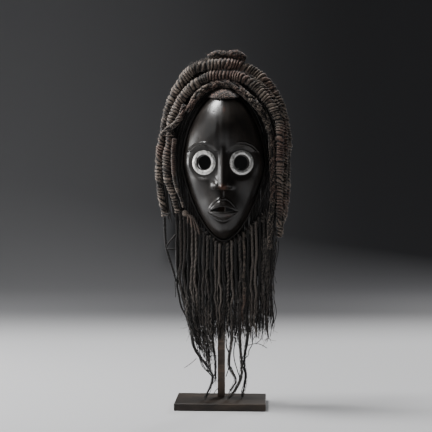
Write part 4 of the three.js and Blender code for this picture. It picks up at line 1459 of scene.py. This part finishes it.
def tail_companions():
    """Thinner strands that twist round the longest cords' tails."""
    strands = []
    shares = [n / 26 for n in range(27)]
    for index, tail in TAILS.items():
        line = Line([cord_route(index)[-len(tail) - 1], *tail])
        for k in range(TAIL_COMPANIONS):
            points = []
            for share, spot in zip(shares, line.sample(shares)):
                reach = 2.4 + 1.6 * ripple(share * 5, k, index)
                here = around(spot, reach, tau * (share * 3 + k / TAIL_COMPANIONS))
                here.z = max(here.z, BASE_REST + 1)
                points.append(here)
            strands.append((points, pick(0.45, 0.85)))
    fibres("tail_companions", strands, DARK_FIBRE_AND_SHADE)


def stand():
    """The post and the plate show their solids, in brown steel, the post's copy painted lighter and the
    plate's painted darker.
    """
    for node, material in (("stand_post", POST_STEEL_PAINTED_LIGHTER), ("stand_base", PLATE_STEEL_PAINTED_DARKER)):
        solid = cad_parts[node]
        solid.data.materials.clear()
        solid.data.materials.append(material)


# Studio, in metres

FLOOR_SIDE = 5
FLOOR_FRONT = -3
SWEEP_START = 2
SWEEP_RADIUS = 1.6
CAMERA_DISTANCE = 2.05
CAMERA_HEIGHT = 0.389
CAMERA_TURN = radians(2.5)
CAMERA_TILT = radians(2.0)
CAMERA_LENS = 102.7
VIEW_X = -0.0083
LAMP_AIM = Vector((0, 0, 0.38))
LAMPS = [
    # name, place, size, power
    ("top", (-0.62, 0, 1.7), 0.5, 38),
    ("front", (-1.7, -1.2, 1.5), 2.6, 20),
    ("side", (-1.5, 0.35, 0.47), 0.5, 17),
    ("edge", (0.8, 2.2, 1.0), 0.5, 22),
]


def studio_floor():
    """A floor that sweeps up into the backdrop."""
    side_view = [(FLOOR_FRONT, 0), (0, 0), (SWEEP_START, 0)]
    for k in range(1, 25):
        angle = pi / 2 * k / 24
        side_view.append((
            SWEEP_START + SWEEP_RADIUS * sin(angle), SWEEP_RADIUS * (1 - cos(angle))))
    side_view.append((SWEEP_START + SWEEP_RADIUS, FLOOR_SIDE))
    bm = bmesh.new()
    rows = [[bm.verts.new((x, y, z)) for x in (-FLOOR_SIDE, FLOOR_SIDE)] for y, z in side_view]
    for (a, b), (c, d) in zip(rows, rows[1:]):
        bm.faces.new((a, b, d, c))
    mesh = mesh_of(bm, "floor")
    mesh.shade_smooth()
    mesh.materials.append(floor_with_painted_light())
    floor = placed("floor", mesh)


def aimed(holder, place, target):
    holder.location = place
    holder.rotation_euler = (target - Vector(place)).to_track_quat("-Z", "Y").to_euler()


def studio():
    """Soft light from above, the front and the left, a light from behind for the edges, dim grey
    air and the camera."""
    studio_floor()
    world = bpy.data.worlds.new("studio_air")
    world.use_nodes = True
    air = world.node_tree.nodes["Background"].inputs
    air["Color"].default_value = (0.30, 0.31, 0.33, 1)
    air["Strength"].default_value = 0.10
    bpy.context.scene.world = world
    for name, place, size, power in LAMPS:
        lamp = bpy.data.lights.new(name, "AREA")
        lamp.size = size
        lamp.energy = power
        aimed(placed(name, lamp), place, LAMP_AIM)
    camera = bpy.data.cameras.new("camera")
    camera.lens = CAMERA_LENS
    camera.sensor_width = 36
    holder = placed("camera", camera)
    place = (
        CAMERA_DISTANCE * sin(CAMERA_TURN), -CAMERA_DISTANCE * cos(CAMERA_TURN),
        CAMERA_HEIGHT)
    drop = CAMERA_DISTANCE * tan(CAMERA_TILT)
    aimed(holder, place, Vector((VIEW_X, 0, CAMERA_HEIGHT - drop)))
    bpy.context.scene.camera = holder


wooden_face()
eye_ring(-1, "tin_ring_left", "left_eye_ring")
eye_ring(1, "tin_ring_right", "right_eye_ring")
forehead_pad()
wrapped_coils()
twisted_coil("inner_coil", "twisted_inner_coil", 34, 3.0, 1.2, 3.0)
twisted_coil("temple_braid", "plaited_temple_braid", 22, 2.6, 0.9, 7.0)
topknot()
hair_behind()
front_cords()
beard_roll()
rear_strands()
jaw_locks()
beard_knot()
stray_cord()
coil_fuzz()
beard_wisps()
beard_ends()
loose_strands()
tail_companions()
stand()
studio()
